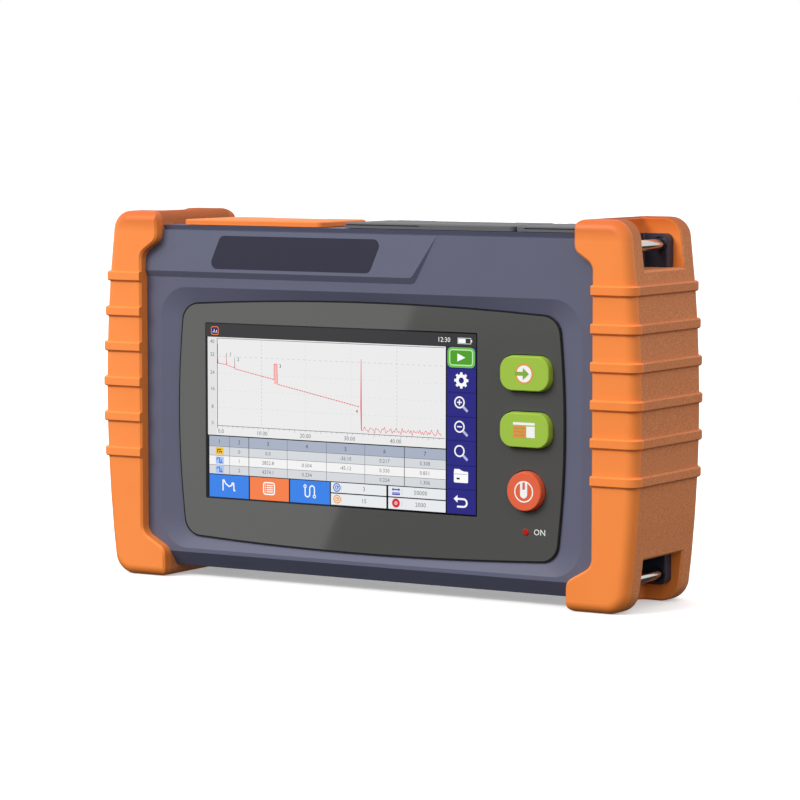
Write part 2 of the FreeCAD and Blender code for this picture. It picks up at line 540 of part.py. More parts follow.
# ---- ports under the covers ----------------------------------------------------------------------
def port_tray(x_range, holes):
    """Open tub let in to the case's top, with a hole for each port's body."""
    x0, x1 = x_range
    outer = plan_prism([(x0 + 0.1, TRAY_FRONT + 0.1, 2.0), (x1 - 0.1, TRAY_FRONT + 0.1, 2.0),
                        (x1 - 0.1, TRAY_BACK - 0.1, 2.0), (x0 + 0.1, TRAY_BACK - 0.1, 2.0)],
                       TRAY_FLOOR - 2.0, CASE_TOP - 0.1)
    inner = plan_prism([(x0 + 1.6, TRAY_FRONT + 1.6, 1.5), (x1 - 1.6, TRAY_FRONT + 1.6, 1.5),
                        (x1 - 1.6, TRAY_BACK - 1.6, 1.5), (x0 + 1.6, TRAY_BACK - 1.6, 1.5)],
                       TRAY_FLOOR, CASE_TOP + 1)
    body = outer.cut(inner)
    for hole in holes:
        body = body.cut(hole)
    return body


def adapter(x):
    """Fibre adapter: flange, threaded barrel, and the 2.5 mm ferrule sleeve in its middle."""
    flange = tube_z(TRAY_FLOOR, TRAY_FLOOR + 1.6, x, ADAPTER_Y, 6.4)
    barrel = tube_z(TRAY_FLOOR - 8.0, TRAY_FLOOR + 10.5, x, ADAPTER_Y, 4.0)
    barrel = barrel.cut(tube_z(TRAY_FLOOR + 3.0, TRAY_FLOOR + 11, x, ADAPTER_Y, 3.3))
    key_slot = box(x - 1.0, x + 1.0, ADAPTER_Y - 6, ADAPTER_Y - 2, TRAY_FLOOR + 6.5, TRAY_FLOOR + 12)
    sleeve = tube_z(TRAY_FLOOR + 2.5, TRAY_FLOOR + 9.0, x, ADAPTER_Y, 2.0)
    body = joined([flange, barrel.cut(key_slot), sleeve])
    return body.cut(tube_z(TRAY_FLOOR - 1.0, TRAY_FLOOR + 10, x, ADAPTER_Y, BORE_R))


def adapter_nuts():
    nuts = []
    for x in ADAPTER_X:
        hexagon = [(x + 5.6 * cos(radians(60 * i)), ADAPTER_Y + 5.6 * sin(radians(60 * i)), 0) for i in range(6)]
        nut = plan_prism(hexagon, TRAY_FLOOR - 5.0, TRAY_FLOOR - 2.0)
        nuts.append(nut.cut(tube_z(TRAY_FLOOR - 6, TRAY_FLOOR, x, ADAPTER_Y, 4.0)))
    return Part.makeCompound(nuts)


def socket(x, width, depth, mouth_w, mouth_d, mouth_deep, top, tongue):
    """Socket shell standing in the tray; tongue is the contact carrier's (x0, x1, y0, y1, height)."""
    y = ADAPTER_Y
    body = box(x - width / 2, x + width / 2, y - depth / 2, y + depth / 2, TRAY_FLOOR - 4.0, top)
    mouth = box(x - mouth_w / 2, x + mouth_w / 2, y - mouth_d / 2, y + mouth_d / 2, top - mouth_deep, top + 1)
    body = body.cut(mouth)
    if tongue:
        x0, x1, y0, y1, height = tongue
        body = body.fuse(box(x + x0, x + x1, y + y0, y + y1, top - mouth_deep, top - mouth_deep + height))
    return body.removeSplitter()


RJ_X, USB_A_X, USB_C_X, DC_X = 12.0, 38.0, 60.0, 90.0
RJ_TOP = TRAY_FLOOR + 11.0


def ethernet_socket():
    body = socket(RJ_X, 16.0, 13.0, 11.8, 7.0, 11.5, RJ_TOP, (-5.9, 5.9, -3.5, -2.9, 9.0))
    return body.cut(box(RJ_X - 3.2, RJ_X + 3.2, ADAPTER_Y + 3.4, ADAPTER_Y + 4.9, RJ_TOP - 10, RJ_TOP + 1))


def usb_a_socket():
    return socket(USB_A_X, 14.4, 6.8, 12.6, 5.2, 9.0, TRAY_FLOOR + 6.0, (-5.6, 5.6, -0.4, 1.5, 8.0))


def usb_c_socket():
    return socket(USB_C_X, 10.2, 4.6, 8.6, 3.2, 6.5, TRAY_FLOOR + 4.0, (-3.2, 3.2, -0.4, 0.4, 5.4))


def dc_jack():
    body = box(DC_X - 5.0, DC_X + 5.0, ADAPTER_Y - 5.5, ADAPTER_Y + 5.5, TRAY_FLOOR - 4.0, TRAY_FLOOR + 1.5)
    neck = tube_z(TRAY_FLOOR + 1.0, TRAY_FLOOR + 6.0, DC_X, ADAPTER_Y, 4.4)
    well = tube_z(TRAY_FLOOR - 3.0, TRAY_FLOOR + 7.0, DC_X, ADAPTER_Y, 3.2)
    pin = tube_z(TRAY_FLOOR - 3.5, TRAY_FLOOR + 5.0, DC_X, ADAPTER_Y, 1.0)
    return joined([joined([body, neck]).cut(well), pin])


# ---- hinged covers and the stand -----------------------------------------------------------------
def hinged_cover(x_range, tray_x, groove):
    """Soft cover on a hinge, with a lip that plugs the tray and a pull groove in its front edge."""
    x0, x1 = x_range
    lip0, lip1 = max(x0 + 6.0, tray_x[0] + 2.3), min(x1 - 6.0, tray_x[1] - 2.3)
    back = HINGE_Y - KNUCKLE_R - 0.6
    plate = plan_prism([(x0, COVER_FRONT, 2.5), (x1, COVER_FRONT, 2.5), (x1, back, 1.0), (x0, back, 1.0)],
                       COVER_UNDER, COVER_TOP)
    rim = [edge for edge in plate.Edges if all(abs(end.Z - COVER_TOP) < 0.001 for end in edge.Vertexes)]
    plate = plate.makeChamfer(0.5, rim)
    if groove:
        plate = plate.cut(box(groove[0], groove[1], COVER_FRONT - 1, COVER_FRONT + 1.0, COVER_TOP - 1.2,
                              COVER_TOP - 0.7))
    lip = plan_prism([(lip0, TRAY_FRONT + 2.0, 1.5), (lip1, TRAY_FRONT + 2.0, 1.5),
                      (lip1, TRAY_FRONT + 4.0, 0.5), (lip0, TRAY_FRONT + 4.0, 0.5)],
                     COVER_UNDER - 1.2, COVER_UNDER + 0.5)
    pieces = [plate, lip]
    for left, right in knuckle_spans(x_range, True):
        pieces.append(tube_x(left, right, HINGE_Y, HINGE_Z, KNUCKLE_R))
        pieces.append(box(left, right, back - 1.5, HINGE_Y, HINGE_Z, COVER_TOP - 0.02))
    body = joined(pieces)
    return body.cut(tube_x(x0 - 1, x1 + 1, HINGE_Y, HINGE_Z, PIN_R + 0.05))


def hinge_pin(x_range):
    return tube_x(x_range[0] + 3.0, x_range[1] - 3.0, HINGE_Y, HINGE_Z, PIN_R)


def kickstand():
    """U-shaped stand that lies flush in the back; both legs end in hinge barrels."""
    y0 = STAND_AXIS_Y - STAND_THICK / 2 + 0.5
    y1 = y0 + STAND_THICK
    outer = front_prism(stand_outline(0), y0, y1)
    hollow = front_prism(rounded(-STAND_HALF + STAND_LEG, STAND_HALF - STAND_LEG, STAND_LOW + STAND_LEG,
                                 STAND_AXIS_Z + 20, 5.0), y0 - 1, y1 + 1)
    pieces = [outer.cut(hollow)]
    for side in (-1, 1):
        x0 = side * (STAND_HALF - STAND_LEG / 2) - STAND_LEG / 2
        pieces.append(tube_x(x0, x0 + STAND_LEG, STAND_AXIS_Y, STAND_AXIS_Z, STAND_BARREL_R))
    return joined(pieces).cut(tube_x(-80, 80, STAND_AXIS_Y, STAND_AXIS_Z, STAND_PIN_R + 0.05))


def stand_pins():
    pins = []
    for side in (-1, 1):
        x0 = side * (STAND_HALF - STAND_LEG / 2) - STAND_LEG / 2 - GAP - 2.5
        pins.append(tube_x(x0, x0 + STAND_LEG + 2 * GAP + 5.0, STAND_AXIS_Y, STAND_AXIS_Z, STAND_PIN_R))
    return Part.makeCompound(pins)


def screws(spots, seat_y, head_r, head_h, shank_r, length):
    """Cap screws driven in from the back."""
    return Part.makeCompound([tube_y(seat_y, seat_y + head_h, x, z, head_r).fuse(
        tube_y(seat_y - length, seat_y, x, z, shank_r)).removeSplitter() for x, z in spots])


def housing_gasket():
    """Sealing cord between the two case halves."""
    ring = case_envelope(1.0, FACE).cut(case_envelope(WALL - 0.2, FACE - 1))
    ring = ring.common(box(-150, 150, SPLIT - SEAM / 2, SPLIT + SEAM / 2, 0, HEIGHT))
    for x0, x1 in (OPTICAL_TRAY_X, IO_TRAY_X):
        ring = ring.cut(box(x0, x1, SPLIT - 1, SPLIT + 1, TRAY_FLOOR, HEIGHT))
    return ring


# ---- build ---------------------------------------------------------------------------------------
bumper = right_bumper()
save("front_housing", front_housing())
save("rear_housing", rear_housing())
save("housing_gasket", housing_gasket())
save("right_bumper", bumper)
save("left_bumper", mirrored(bumper).cut(plateau_end()))
for height, upper in (("top", True), ("bottom", False)):
    bracket, bar_height = strap_bracket(upper)
    for side, turn in (("right", lambda shape: shape), ("left", mirrored)):
        save("strap_bracket_" + height + "_" + side, turn(bracket))
        save("strap_bar_" + height + "_" + side, turn(strap_bar(bar_height)))
save("nameplate", nameplate(0.15, 0.6))
save("front_panel", front_panel())
save("touch_glass", touch_glass())
save("lcd_module", lcd_module())
save("lcd_frame", lcd_frame())
save("enter_key", rounded_key(ENTER_Z))
save("menu_key", rounded_key(MENU_Z))
save("power_key", round_key())
save("keypad_mat", keypad_mat())
save("key_board", key_board())
save("status_led", status_led())
save("main_board", main_board())
save("optical_module", optical_module())
save("battery_tray", battery_tray())
save("battery_pack", battery_pack())
save("battery_door", battery_door())
save("speaker", speaker())
save("optical_port_tray", port_tray(OPTICAL_TRAY_X, [tube_z(TRAY_FLOOR - 3, TRAY_FLOOR + 1, x, ADAPTER_Y, 4.0)
                                                     for x in ADAPTER_X]))
save("io_port_tray", port_tray(IO_TRAY_X, [
    box(RJ_X - 8.0, RJ_X + 8.0, ADAPTER_Y - 6.5, ADAPTER_Y + 6.5, TRAY_FLOOR - 3, TRAY_FLOOR + 1),
    box(USB_A_X - 7.2, USB_A_X + 7.2, ADAPTER_Y - 3.4, ADAPTER_Y + 3.4, TRAY_FLOOR - 3, TRAY_FLOOR + 1),
    box(USB_C_X - 5.1, USB_C_X + 5.1, ADAPTER_Y - 2.3, ADAPTER_Y + 2.3, TRAY_FLOOR - 3, TRAY_FLOOR + 1),
    box(DC_X - 5.0, DC_X + 5.0, ADAPTER_Y - 5.5, ADAPTER_Y + 5.5, TRAY_FLOOR - 3, TRAY_FLOOR + 1)]))
for name, x in zip(("otdr_adapter", "power_meter_adapter", "fault_locator_adapter"), ADAPTER_X):
    save(name, adapter(x))
save("adapter_nuts", adapter_nuts())
save("ethernet_socket", ethernet_socket())
save("usb_a_socket", usb_a_socket())
save("usb_c_socket", usb_c_socket())
save("dc_jack", dc_jack())
for name, span, tray, groove in (("optical_cover", OPTICAL_COVER_X, OPTICAL_TRAY_X, None),
                                 ("usb_cover", USB_COVER_X, IO_TRAY_X, (-13.0, 27.0)),
                                 ("dc_cover", DC_COVER_X, IO_TRAY_X, (80.0, 107.0))):
    save(name, hinged_cover(span, tray, groove))
    save(name + "_pin", hinge_pin(span))
save("kickstand", kickstand())
save("stand_pins", stand_pins())
save("housing_screws", screws(SCREW_SPOTS, BACK - 2.6, 2.8, 1.8, 1.3, 28.0))
save("battery_door_screws", screws([(-DOOR_SCREW_X, DOOR_HIGH - 6), (DOOR_SCREW_X, DOOR_HIGH - 6)],
                                   BACK - 1.3, 2.7, 1.0, 1.2, 6.0))
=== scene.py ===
from math import atan2, cos, pi, radians, sin

import bmesh
import bpy
from mathutils import Matrix, Vector


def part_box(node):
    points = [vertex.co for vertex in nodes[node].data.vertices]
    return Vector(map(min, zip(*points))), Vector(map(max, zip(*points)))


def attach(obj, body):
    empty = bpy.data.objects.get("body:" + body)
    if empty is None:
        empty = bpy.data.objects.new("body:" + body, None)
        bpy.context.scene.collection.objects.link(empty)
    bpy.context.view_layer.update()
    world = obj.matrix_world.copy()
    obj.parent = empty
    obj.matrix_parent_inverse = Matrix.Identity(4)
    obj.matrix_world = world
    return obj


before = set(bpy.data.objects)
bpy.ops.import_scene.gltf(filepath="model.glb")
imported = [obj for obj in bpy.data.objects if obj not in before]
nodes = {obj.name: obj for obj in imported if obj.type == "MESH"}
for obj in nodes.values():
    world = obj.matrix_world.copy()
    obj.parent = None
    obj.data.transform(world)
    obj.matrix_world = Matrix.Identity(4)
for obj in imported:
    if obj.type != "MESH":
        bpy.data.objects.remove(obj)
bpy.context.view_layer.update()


# ---- Studio -------------------------------------------------------------------------------------
# The instrument stands on a white table that runs into a white background. A long lens looks at it
# from the front right, a little above the middle. One large soft box stands high at its front left.
def linear(code):
    """An sRGB hex colour as linear red, green, blue and alpha."""
    channels = [int(code[i:i + 2], 16) / 255 for i in (1, 3, 5)]
    return [c / 12.92 if c <= 0.04045 else ((c + 0.055) / 1.055) ** 2.4 for c in channels] + [1.0]


def add(tree, kind, inputs=None, **settings):
    """Adds one node. Inputs are values, or the sockets that they are linked to."""
    node = tree.nodes.new(kind)
    for name, value in settings.items():
        setattr(node, name, value)
    for name, value in (inputs or {}).items():
        if isinstance(value, bpy.types.NodeSocket):
            tree.links.new(value, node.inputs[name])
        else:
            node.inputs[name].default_value = value
    return node


def new_material(name):
    """An empty material with its output node."""
    material = bpy.data.materials.new(name)
    material.use_nodes = True
    tree = material.node_tree
    tree.nodes.clear()
    return material, tree, add(tree, "ShaderNodeOutputMaterial")


def finish_piece(mesh, name, *materials):
    """Turns a bmesh into an object at the origin."""
    data = bpy.data.meshes.new(name)
    mesh.to_mesh(data)
    mesh.free()
    for material in materials:
        data.materials.append(material)
    piece = bpy.data.objects.new(name, data)
    bpy.context.scene.collection.objects.link(piece)
    return piece


scene = bpy.context.scene
scene.view_settings.view_transform = "Standard"

eye = bpy.data.cameras.new("front_right")
eye.lens, eye.sensor_width = 156.2, 36.0
eye.clip_start, eye.clip_end = 0.05, 200.0
camera = bpy.data.objects.new("front_right", eye)
LOOK_DOWN, STAND_ROUND = 4.84, 31.54   # degrees below level, and round to the right of the front
camera.location = (0.8172, -1.3278, 0.2162)
camera.rotation_euler = (radians(90 - LOOK_DOWN), 0.0, radians(STAND_ROUND))
scene.collection.objects.link(camera)
scene.camera = camera

table_top, tree, output = new_material("white laminate")
laminate = add(tree, "ShaderNodeBsdfPrincipled",
               {"Base Color": linear("#f8f8f8"), "Roughness": 0.6, "Specular IOR Level": 0.2,
                "Emission Color": linear("#ffffff"), "Emission Strength": 0.35})
tree.links.new(laminate.outputs[0], output.inputs["Surface"])
mesh = bmesh.new()
bmesh.ops.create_grid(mesh, x_segments=1, y_segments=1, size=80.0)
floor = finish_piece(mesh, "table_top", table_top)
floor.visible_diffuse = floor.visible_glossy = False

# The room is white down to just below the horizon, and dim under that.
world = bpy.data.worlds.new("white room")
world.use_nodes = True
tree = world.node_tree
direction = add(tree, "ShaderNodeTexCoord").outputs["Generated"]
way_up = add(tree, "ShaderNodeSeparateXYZ", {"Vector": direction})
above = add(tree, "ShaderNodeMapRange", {"Value": way_up.outputs["Z"], "From Min": -0.07,
                                         "From Max": -0.03, "To Min": 0.05, "To Max": 1.0})
tree.links.new(above.outputs["Result"], tree.nodes["Background"].inputs["Strength"])
tree.nodes["Background"].inputs["Color"].default_value = (1.0, 1.0, 1.0, 1.0)
scene.world = world


def soft_box(name, place, target, width, height, power):
    """A rectangular lamp aimed at a point."""
    lamp = bpy.data.lights.new(name, "AREA")
    lamp.shape, lamp.size, lamp.size_y, lamp.energy = "RECTANGLE", width, height, power
    box = bpy.data.objects.new(name, lamp)
    box.location = place
    box.rotation_euler = (Vector(target) - Vector(place)).to_track_quat("-Z", "Y").to_euler()
    scene.collection.objects.link(box)


soft_box("key", (-0.8, -1.7, 1.5), (0.0, 0.0, 0.08), 1.2, 1.0, 36.0)

# A white card low at the front left, which only glossy faces see. Its edge shows across the panel.
card_paper, tree, output = new_material("white reflector card")
glow = add(tree, "ShaderNodeEmission", {"Color": linear("#ffffff"), "Strength": 1.3})
tree.links.new(glow.outputs[0], output.inputs["Surface"])
CARD_Y = -0.50
card_corners = [(-1.20, -0.30), (-0.433, -0.30), (-0.244, 0.14), (-1.20, 0.14)]
mesh = bmesh.new()
mesh.faces.new([mesh.verts.new((x, CARD_Y, z)) for x, z in card_corners])
card = finish_piece(mesh, "reflector_card", card_paper)
card.visible_camera = card.visible_diffuse = card.visible_shadow = card.visible_transmission = False


# ---- Case halves --------------------------------------------------------------------------------
# Two halves in blue-grey ABS, injection moulded in spark-eroded tools, so they are satin with a fine
# even grain. The battery door, the stand and the port tubs are moulded in the same plastic.
MM = 0.001   # in metres, for sizes given in mm


def moulded(name, colour, rough, grain_mm=0.7, depth_mm=0.02, tone=0.04, drift_mm=25.0, specular=0.5,
            metal=0.0, ior=1.5):
    """A surface that takes its grain from the tool, with a slight drift of tone and of gloss."""
    material, tree, output = new_material(name)
    where = add(tree, "ShaderNodeTexCoord").outputs["Object"]
    cloud = add(tree, "ShaderNodeTexNoise", {"Vector": where, "Scale": 1000 / drift_mm, "Detail": 1.0})
    base = linear(colour)[:3]
    shade = add(tree, "ShaderNodeMix", {0: cloud.outputs["Fac"], 6: [c * (1 - tone) for c in base] + [1.0],
                                        7: [c * (1 + tone) for c in base] + [1.0]}, data_type="RGBA")
    gloss = add(tree, "ShaderNodeMapRange", {"Value": cloud.outputs["Fac"], "To Min": rough * 0.93,
                                             "To Max": rough * 1.07})
    pits = add(tree, "ShaderNodeTexNoise", {"Vector": where, "Scale": 1000 / grain_mm, "Detail": 2.0})
    relief = add(tree, "ShaderNodeBump", {"Height": pits.outputs["Fac"], "Distance": depth_mm * MM})
    body = add(tree, "ShaderNodeBsdfPrincipled",
               {"Base Color": shade.outputs[2], "Roughness": gloss.outputs["Result"], "IOR": ior,
                "Metallic": metal, "Specular IOR Level": specular, "Normal": relief.outputs["Normal"]})
    tree.links.new(body.outputs[0], output.inputs["Surface"])
    return material


def dress(material, *names):
    """Gives CAD nodes a finish in place of their plain one."""
    for name in names:
        slots = nodes[name].data.materials
        slots.clear()
        slots.append(material)


# Real spark-eroded grain is 0.2 to 0.4 mm wide. It is drawn at 0.7 mm to show.
case_abs = moulded("blue-grey spark-eroded ABS", "#5b5d72", 0.55, 0.7, 0.02, specular=0.35)
dress(case_abs, "front_housing", "rear_housing", "battery_door", "kickstand", "optical_port_tray",
      "io_port_tray")
# The gasket is an extruded silicone cord pressed into the groove between the halves.
dress(moulded("dark grey silicone cord", "#2b2c30", 0.6, 1.2, 0.02), "housing_gasket")


# ---- Boards, optics, battery and speaker --------------------------------------------------------
# What is sealed inside: two glass-epoxy boards under green solder mask, a die-cast optics block, a
# battery pack in shrink film in its moulded bay, and a small paper-cone speaker.
def solder_mask(name, colour):
    """Green mask with copper tracks showing through as lighter lanes, about 1.3 mm apart."""
    material, tree, output = new_material(name)
    where = add(tree, "ShaderNodeTexCoord").outputs["Object"]
    upright = add(tree, "ShaderNodeMapping", {"Vector": where, "Rotation": (pi / 2, 0.0, 0.0)})
    lanes = add(tree, "ShaderNodeTexBrick", {"Vector": upright.outputs["Vector"], "Scale": 60.0,
                                             "Mortar Size": 0.012, "Brick Width": 0.9, "Row Height": 0.08,
                                             "Color1": linear(colour), "Color2": linear("#1d6b43"),
                                             "Mortar": linear("#4b9b62")})
    relief = add(tree, "ShaderNodeBump", {"Height": lanes.outputs["Fac"], "Distance": 0.035 * MM})
    body = add(tree, "ShaderNodeBsdfPrincipled", {"Base Color": lanes.outputs["Color"], "Roughness": 0.3,
                                                  "IOR": 1.5, "Normal": relief.outputs["Normal"]})
    tree.links.new(body.outputs[0], output.inputs["Surface"])
    return material


dress(solder_mask("green solder mask", "#165a38"), "main_board", "key_board")
dress(moulded("die-cast aluminium", "#b9bbbd", 0.45, 1.5, 0.04, metal=1.0), "optical_module")
dress(moulded("blue shrink film", "#27418c", 0.25, 9.0, 0.15, tone=0.08), "battery_pack")
dress(moulded("black glass-filled nylon", "#1c1c1e", 0.5, 0.8, 0.03), "battery_tray", "dc_jack")
dress(moulded("black pressed paper", "#262626", 0.8, 0.9, 0.08), "speaker")


# ---- Fibre adapters and sockets -----------------------------------------------------------------
# Three fibre adapters stand in the left tub on nickel-plated nuts. Their bodies are turned from
# brass and nickel plated. The sockets in the right tub have shells folded from tinned steel strip.
dress(moulded("nickel-plated brass", "#c4beb2", 0.22, 3.0, 0.01, metal=1.0), "otdr_adapter",
      "fault_locator_adapter", "power_meter_adapter", "adapter_nuts")
dress(moulded("tinned steel strip", "#c9cacb", 0.3, 2.0, 0.01, metal=1.0), "ethernet_socket",
      "usb_a_socket", "usb_c_socket")


# ---- Display ------------------------------------------------------------------------------------
# A 6.5 inch widescreen display, held by a pressed steel frame, behind a bonded touch window. Lit, it
# shows a trace, a table of events, three tabs and a column of tools, all in flat bright colours.
dress(moulded("black anodised display shell", "#1a1a1c", 0.4, 1.0, 0.01), "lcd_module")
dress(moulded("zinc-plated pressed steel", "#a9adb0", 0.35, 2.5, 0.015, metal=1.0), "lcd_frame")
dress(moulded("black-backed touch glass", "#07080a", 0.08, 30.0, 0.0, tone=0.02, specular=0.3),
      "touch_glass")

window_low, window_high = [[c / MM for c in corner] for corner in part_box("touch_glass")]
WINDOW_W, WINDOW_H = window_high[0] - window_low[0], window_high[2] - window_low[2]
LAYER = 0.03     # mm from one layer of print or picture to the next, so that none lies in another
CAPITAL = 0.72   # height of a capital, as a share of the size that a face is set in
SHADES = {"separator": "#14141c", "bar": "#3a3a3c", "paper": "#ebebeb", "margin": "#e2e2e2",
          "axis": "#35383d", "dash": "#b4b6b8", "faint dash": "#d6d8da", "figure": "#6a6d72",
          "dark figure": "#3c3f45", "trace": "#e22c36", "pale trace": "#f7b9b9", "heading": "#a9b2c4",
          "row": "#d5d8dc", "white row": "#f2f2f2", "amber": "#f2c23e", "sky": "#a9c4f4",
          "deep blue": "#2f62c8", "tab": "#3b82e8", "chosen tab": "#f5804a", "cell": "#e8ebee",
          "indigo": "#4a48b8", "ring blue": "#3d78d8", "ring orange": "#f0a040", "ring red": "#d83440",
          "tools": "#2e2c82", "tool edge": "#23216b", "white": "#fbfbfb", "leaf": "#6cc04a",
          "grass": "#4fa02e", "pale leaf": "#c9e8b8", "navy": "#2a2c6e", "grip": "#b9bce0"}
SHADE_SLOT = {shade: slot for slot, shade in enumerate(SHADES)}


def lit_display(shade):
    """One colour of the lit display. Its light is even, and faint smears on the glass vary the gloss."""
    material, tree, output = new_material("lit display, " + shade)
    where = add(tree, "ShaderNodeTexCoord").outputs["Object"]
    smears = add(tree, "ShaderNodeTexNoise", {"Vector": where, "Scale": 1000 / 18.0, "Detail": 3.0})
    gloss = add(tree, "ShaderNodeMapRange", {"Value": smears.outputs["Fac"], "To Min": 0.12, "To Max": 0.3})
    body = add(tree, "ShaderNodeBsdfPrincipled",
               {"Base Color": linear("#020202"), "Roughness": gloss.outputs["Result"], "IOR": 1.5,
                "Specular IOR Level": 0.12, "Emission Color": linear(SHADES[shade]),
                "Emission Strength": 1.0})
    tree.links.new(body.outputs[0], output.inputs["Surface"])
    return material


def paint_faces(corners, slot):
    """Gives the faces round those corners a material slot."""
    for face in {face for corner in corners for face in corner.link_faces}:
        face.material_index = slot


# Flat shapes take X and Z in mm. Their depth is their Y, and their slot is their colour.
def strip(mesh, start, end, width, depth, slot):
    """A straight strip between two points."""
    run, middle = Vector(end) - Vector(start), (Vector(start) + Vector(end)) / 2
    place = (Matrix.Translation((middle.x * MM, depth * MM, middle.y * MM))
             @ Matrix.Rotation(-atan2(run.y, run.x), 4, "Y") @ Matrix.Rotation(pi / 2, 4, "X")
             @ Matrix.Diagonal((run.length * MM / 2, width * MM / 2, 1.0, 1.0)))
    grid = bmesh.ops.create_grid(mesh, x_segments=1, y_segments=1, size=1.0, matrix=place)
    paint_faces(grid["verts"], slot)


def disc(mesh, centre, radius, depth, slot, hole=0.0, segments=32):
    """A disc, or a ring where it has a hole."""
    middle = Vector((centre[0] * MM, depth * MM, centre[1] * MM))
    place = Matrix.Translation(middle) @ Matrix.Rotation(pi / 2, 4, "X")
    rim = bmesh.ops.create_circle(mesh, cap_ends=not hole, segments=segments, radius=radius * MM,
                                  matrix=place)["verts"]
    if hole:
        edges = list({edge for corner in rim for edge in corner.link_edges})
        inner = [part for part in bmesh.ops.extrude_edge_only(mesh, edges=edges)["geom"]
                 if isinstance(part, bmesh.types.BMVert)]
        bmesh.ops.scale(mesh, vec=(hole / radius,) * 3, space=Matrix.Translation(-middle), verts=inner)
    paint_faces(rim, slot)


def line(mesh, points, width, depth, slot):
    """Strips from point to point, with a round at each bend."""
    for start, end in zip(points, points[1:]):
        strip(mesh, start, end, width, depth, slot)
    for point in points[1:-1]:
        disc(mesh, point, width / 2, depth, slot, segments=8)


def round_points(centre, radius, start, end, steps):
    """Points on a circle, from one angle to another, in degrees."""
    turns = [radians(start + (end - start) * i / steps) for i in range(steps + 1)]
    return [(centre[0] + radius * cos(turn), centre[1] + radius * sin(turn)) for turn in turns]


def plate(mesh, points, depth, slot):
    """A shape with those corners."""
    mesh.faces.new([mesh.verts.new((x * MM, depth * MM, z * MM)) for x, z in points]).material_index = slot


def rounded_plate(mesh, centre, width, height, radius, depth, slot):
    """A rectangle with rounded corners."""
    across, up = width / 2 - radius, height / 2 - radius
    points = []
    for side_x, side_z, first in ((1, 1, 0), (-1, 1, 90), (-1, -1, 180), (1, -1, 270)):
        corner = (centre[0] + side_x * across, centre[1] + side_z * up)
        points += round_points(corner, radius, first, first + 90, 3)
    plate(mesh, points, depth, slot)


def figures(mesh, words, centre, height, depth, slot):
    """Words in the plain built-in face, by the height of a capital, made a mesh and then placed."""
    text = bpy.data.curves.new("figures", "FONT")
    text.body, text.size, text.resolution_u = words, height * MM / CAPITAL, 2
    text.align_x, text.align_y = "CENTER", "CENTER"
    setting = bpy.data.objects.new("figures", text)
    data = bpy.data.meshes.new_from_object(setting)
    place = Matrix.Translation((centre[0] * MM, depth * MM, centre[1] * MM))
    data.transform(place @ Matrix.Rotation(pi / 2, 4, "X"))
    before = len(mesh.faces)
    mesh.from_mesh(data)
    mesh.faces.ensure_lookup_table()
    for face in mesh.faces[before:]:
        face.material_index = slot
    bpy.data.objects.remove(setting)
    bpy.data.meshes.remove(data)


def face_user(mesh):
    """Turns every flat face to the user."""
    mesh.normal_update()
    for face in mesh.faces:
        if face.normal.y > 0:
            face.normal_flip()


def around(centre, *offsets):
    """Points at those offsets from a centre."""
    return [(centre[0] + x, centre[1] + z) for x, z in offsets]


# The picture is laid out in shares of the window, across from its left edge and down from its top.
picture = bmesh.new()


def at(across, down):
    """A place in the window as X and Z in mm."""
    return window_low[0] + WINDOW_W * across, window_high[2] - WINDOW_H * down


def laid(layer, shade):
    """Depth and slot of a shape on that layer of the picture, in that colour."""
    return window_low[1] - LAYER * layer, SHADE_SLOT[shade]


def area(left, top, right, bottom, layer, shade):
    """A filled rectangle of the picture."""
    middle = (top + bottom) / 2
    strip(picture, at(left, middle), at(right, middle), (bottom - top) * WINDOW_H, *laid(layer, shade))


def stroke(points, width, layer, shade):
    """A line of the picture, of that width in mm."""
    line(picture, [at(*point) for point in points], width, *laid(layer, shade))


def dashes(start, step, dash, count, width, layer, shade):
    """A row of short strokes. Each begins a step after the last."""
    for i in range(count):
        across, down = start[0] + i * step[0], start[1] + i * step[1]
        stroke([(across, down), (across + dash[0], down + dash[1])], width, layer, shade)


def number(words, across, down, height, layer, shade):
    """A figure of the picture, of that height in mm."""
    figures(picture, words, at(across, down), height, *laid(layer, shade))


LEFT, TOP, RIGHT, FOOT = 0.003, 0.006, 0.997, 0.994
area(LEFT, TOP, RIGHT, FOOT, 1, "separator")

# Status bar: an instrument badge, the time and the battery.
area(LEFT, TOP, RIGHT, 0.0775, 2, "bar")
badge = at(0.0363, 0.0443)
rounded_plate(picture, badge, 4.2, 3.9, 0.9, *laid(3, "chosen tab"))
rounded_plate(picture, badge, 3.5, 3.2, 0.7, *laid(4, "navy"))
for across, top in ((0.0300, 0.0470), (0.0345, 0.0360), (0.0390, 0.0510), (0.0435, 0.0410)):
    stroke([(across, 0.0545), (across, top)], 0.32, 5, "white")
number("12:30", 0.8830, 0.0435, 2.15, 3, "white")
area(0.9320, 0.0290, 0.9790, 0.0620, 3, "white")
area(0.9335, 0.0315, 0.9775, 0.0595, 4, "bar")
area(0.9345, 0.0340, 0.9600, 0.0570, 5, "white")
area(0.9795, 0.0390, 0.9825, 0.0520, 3, "white")

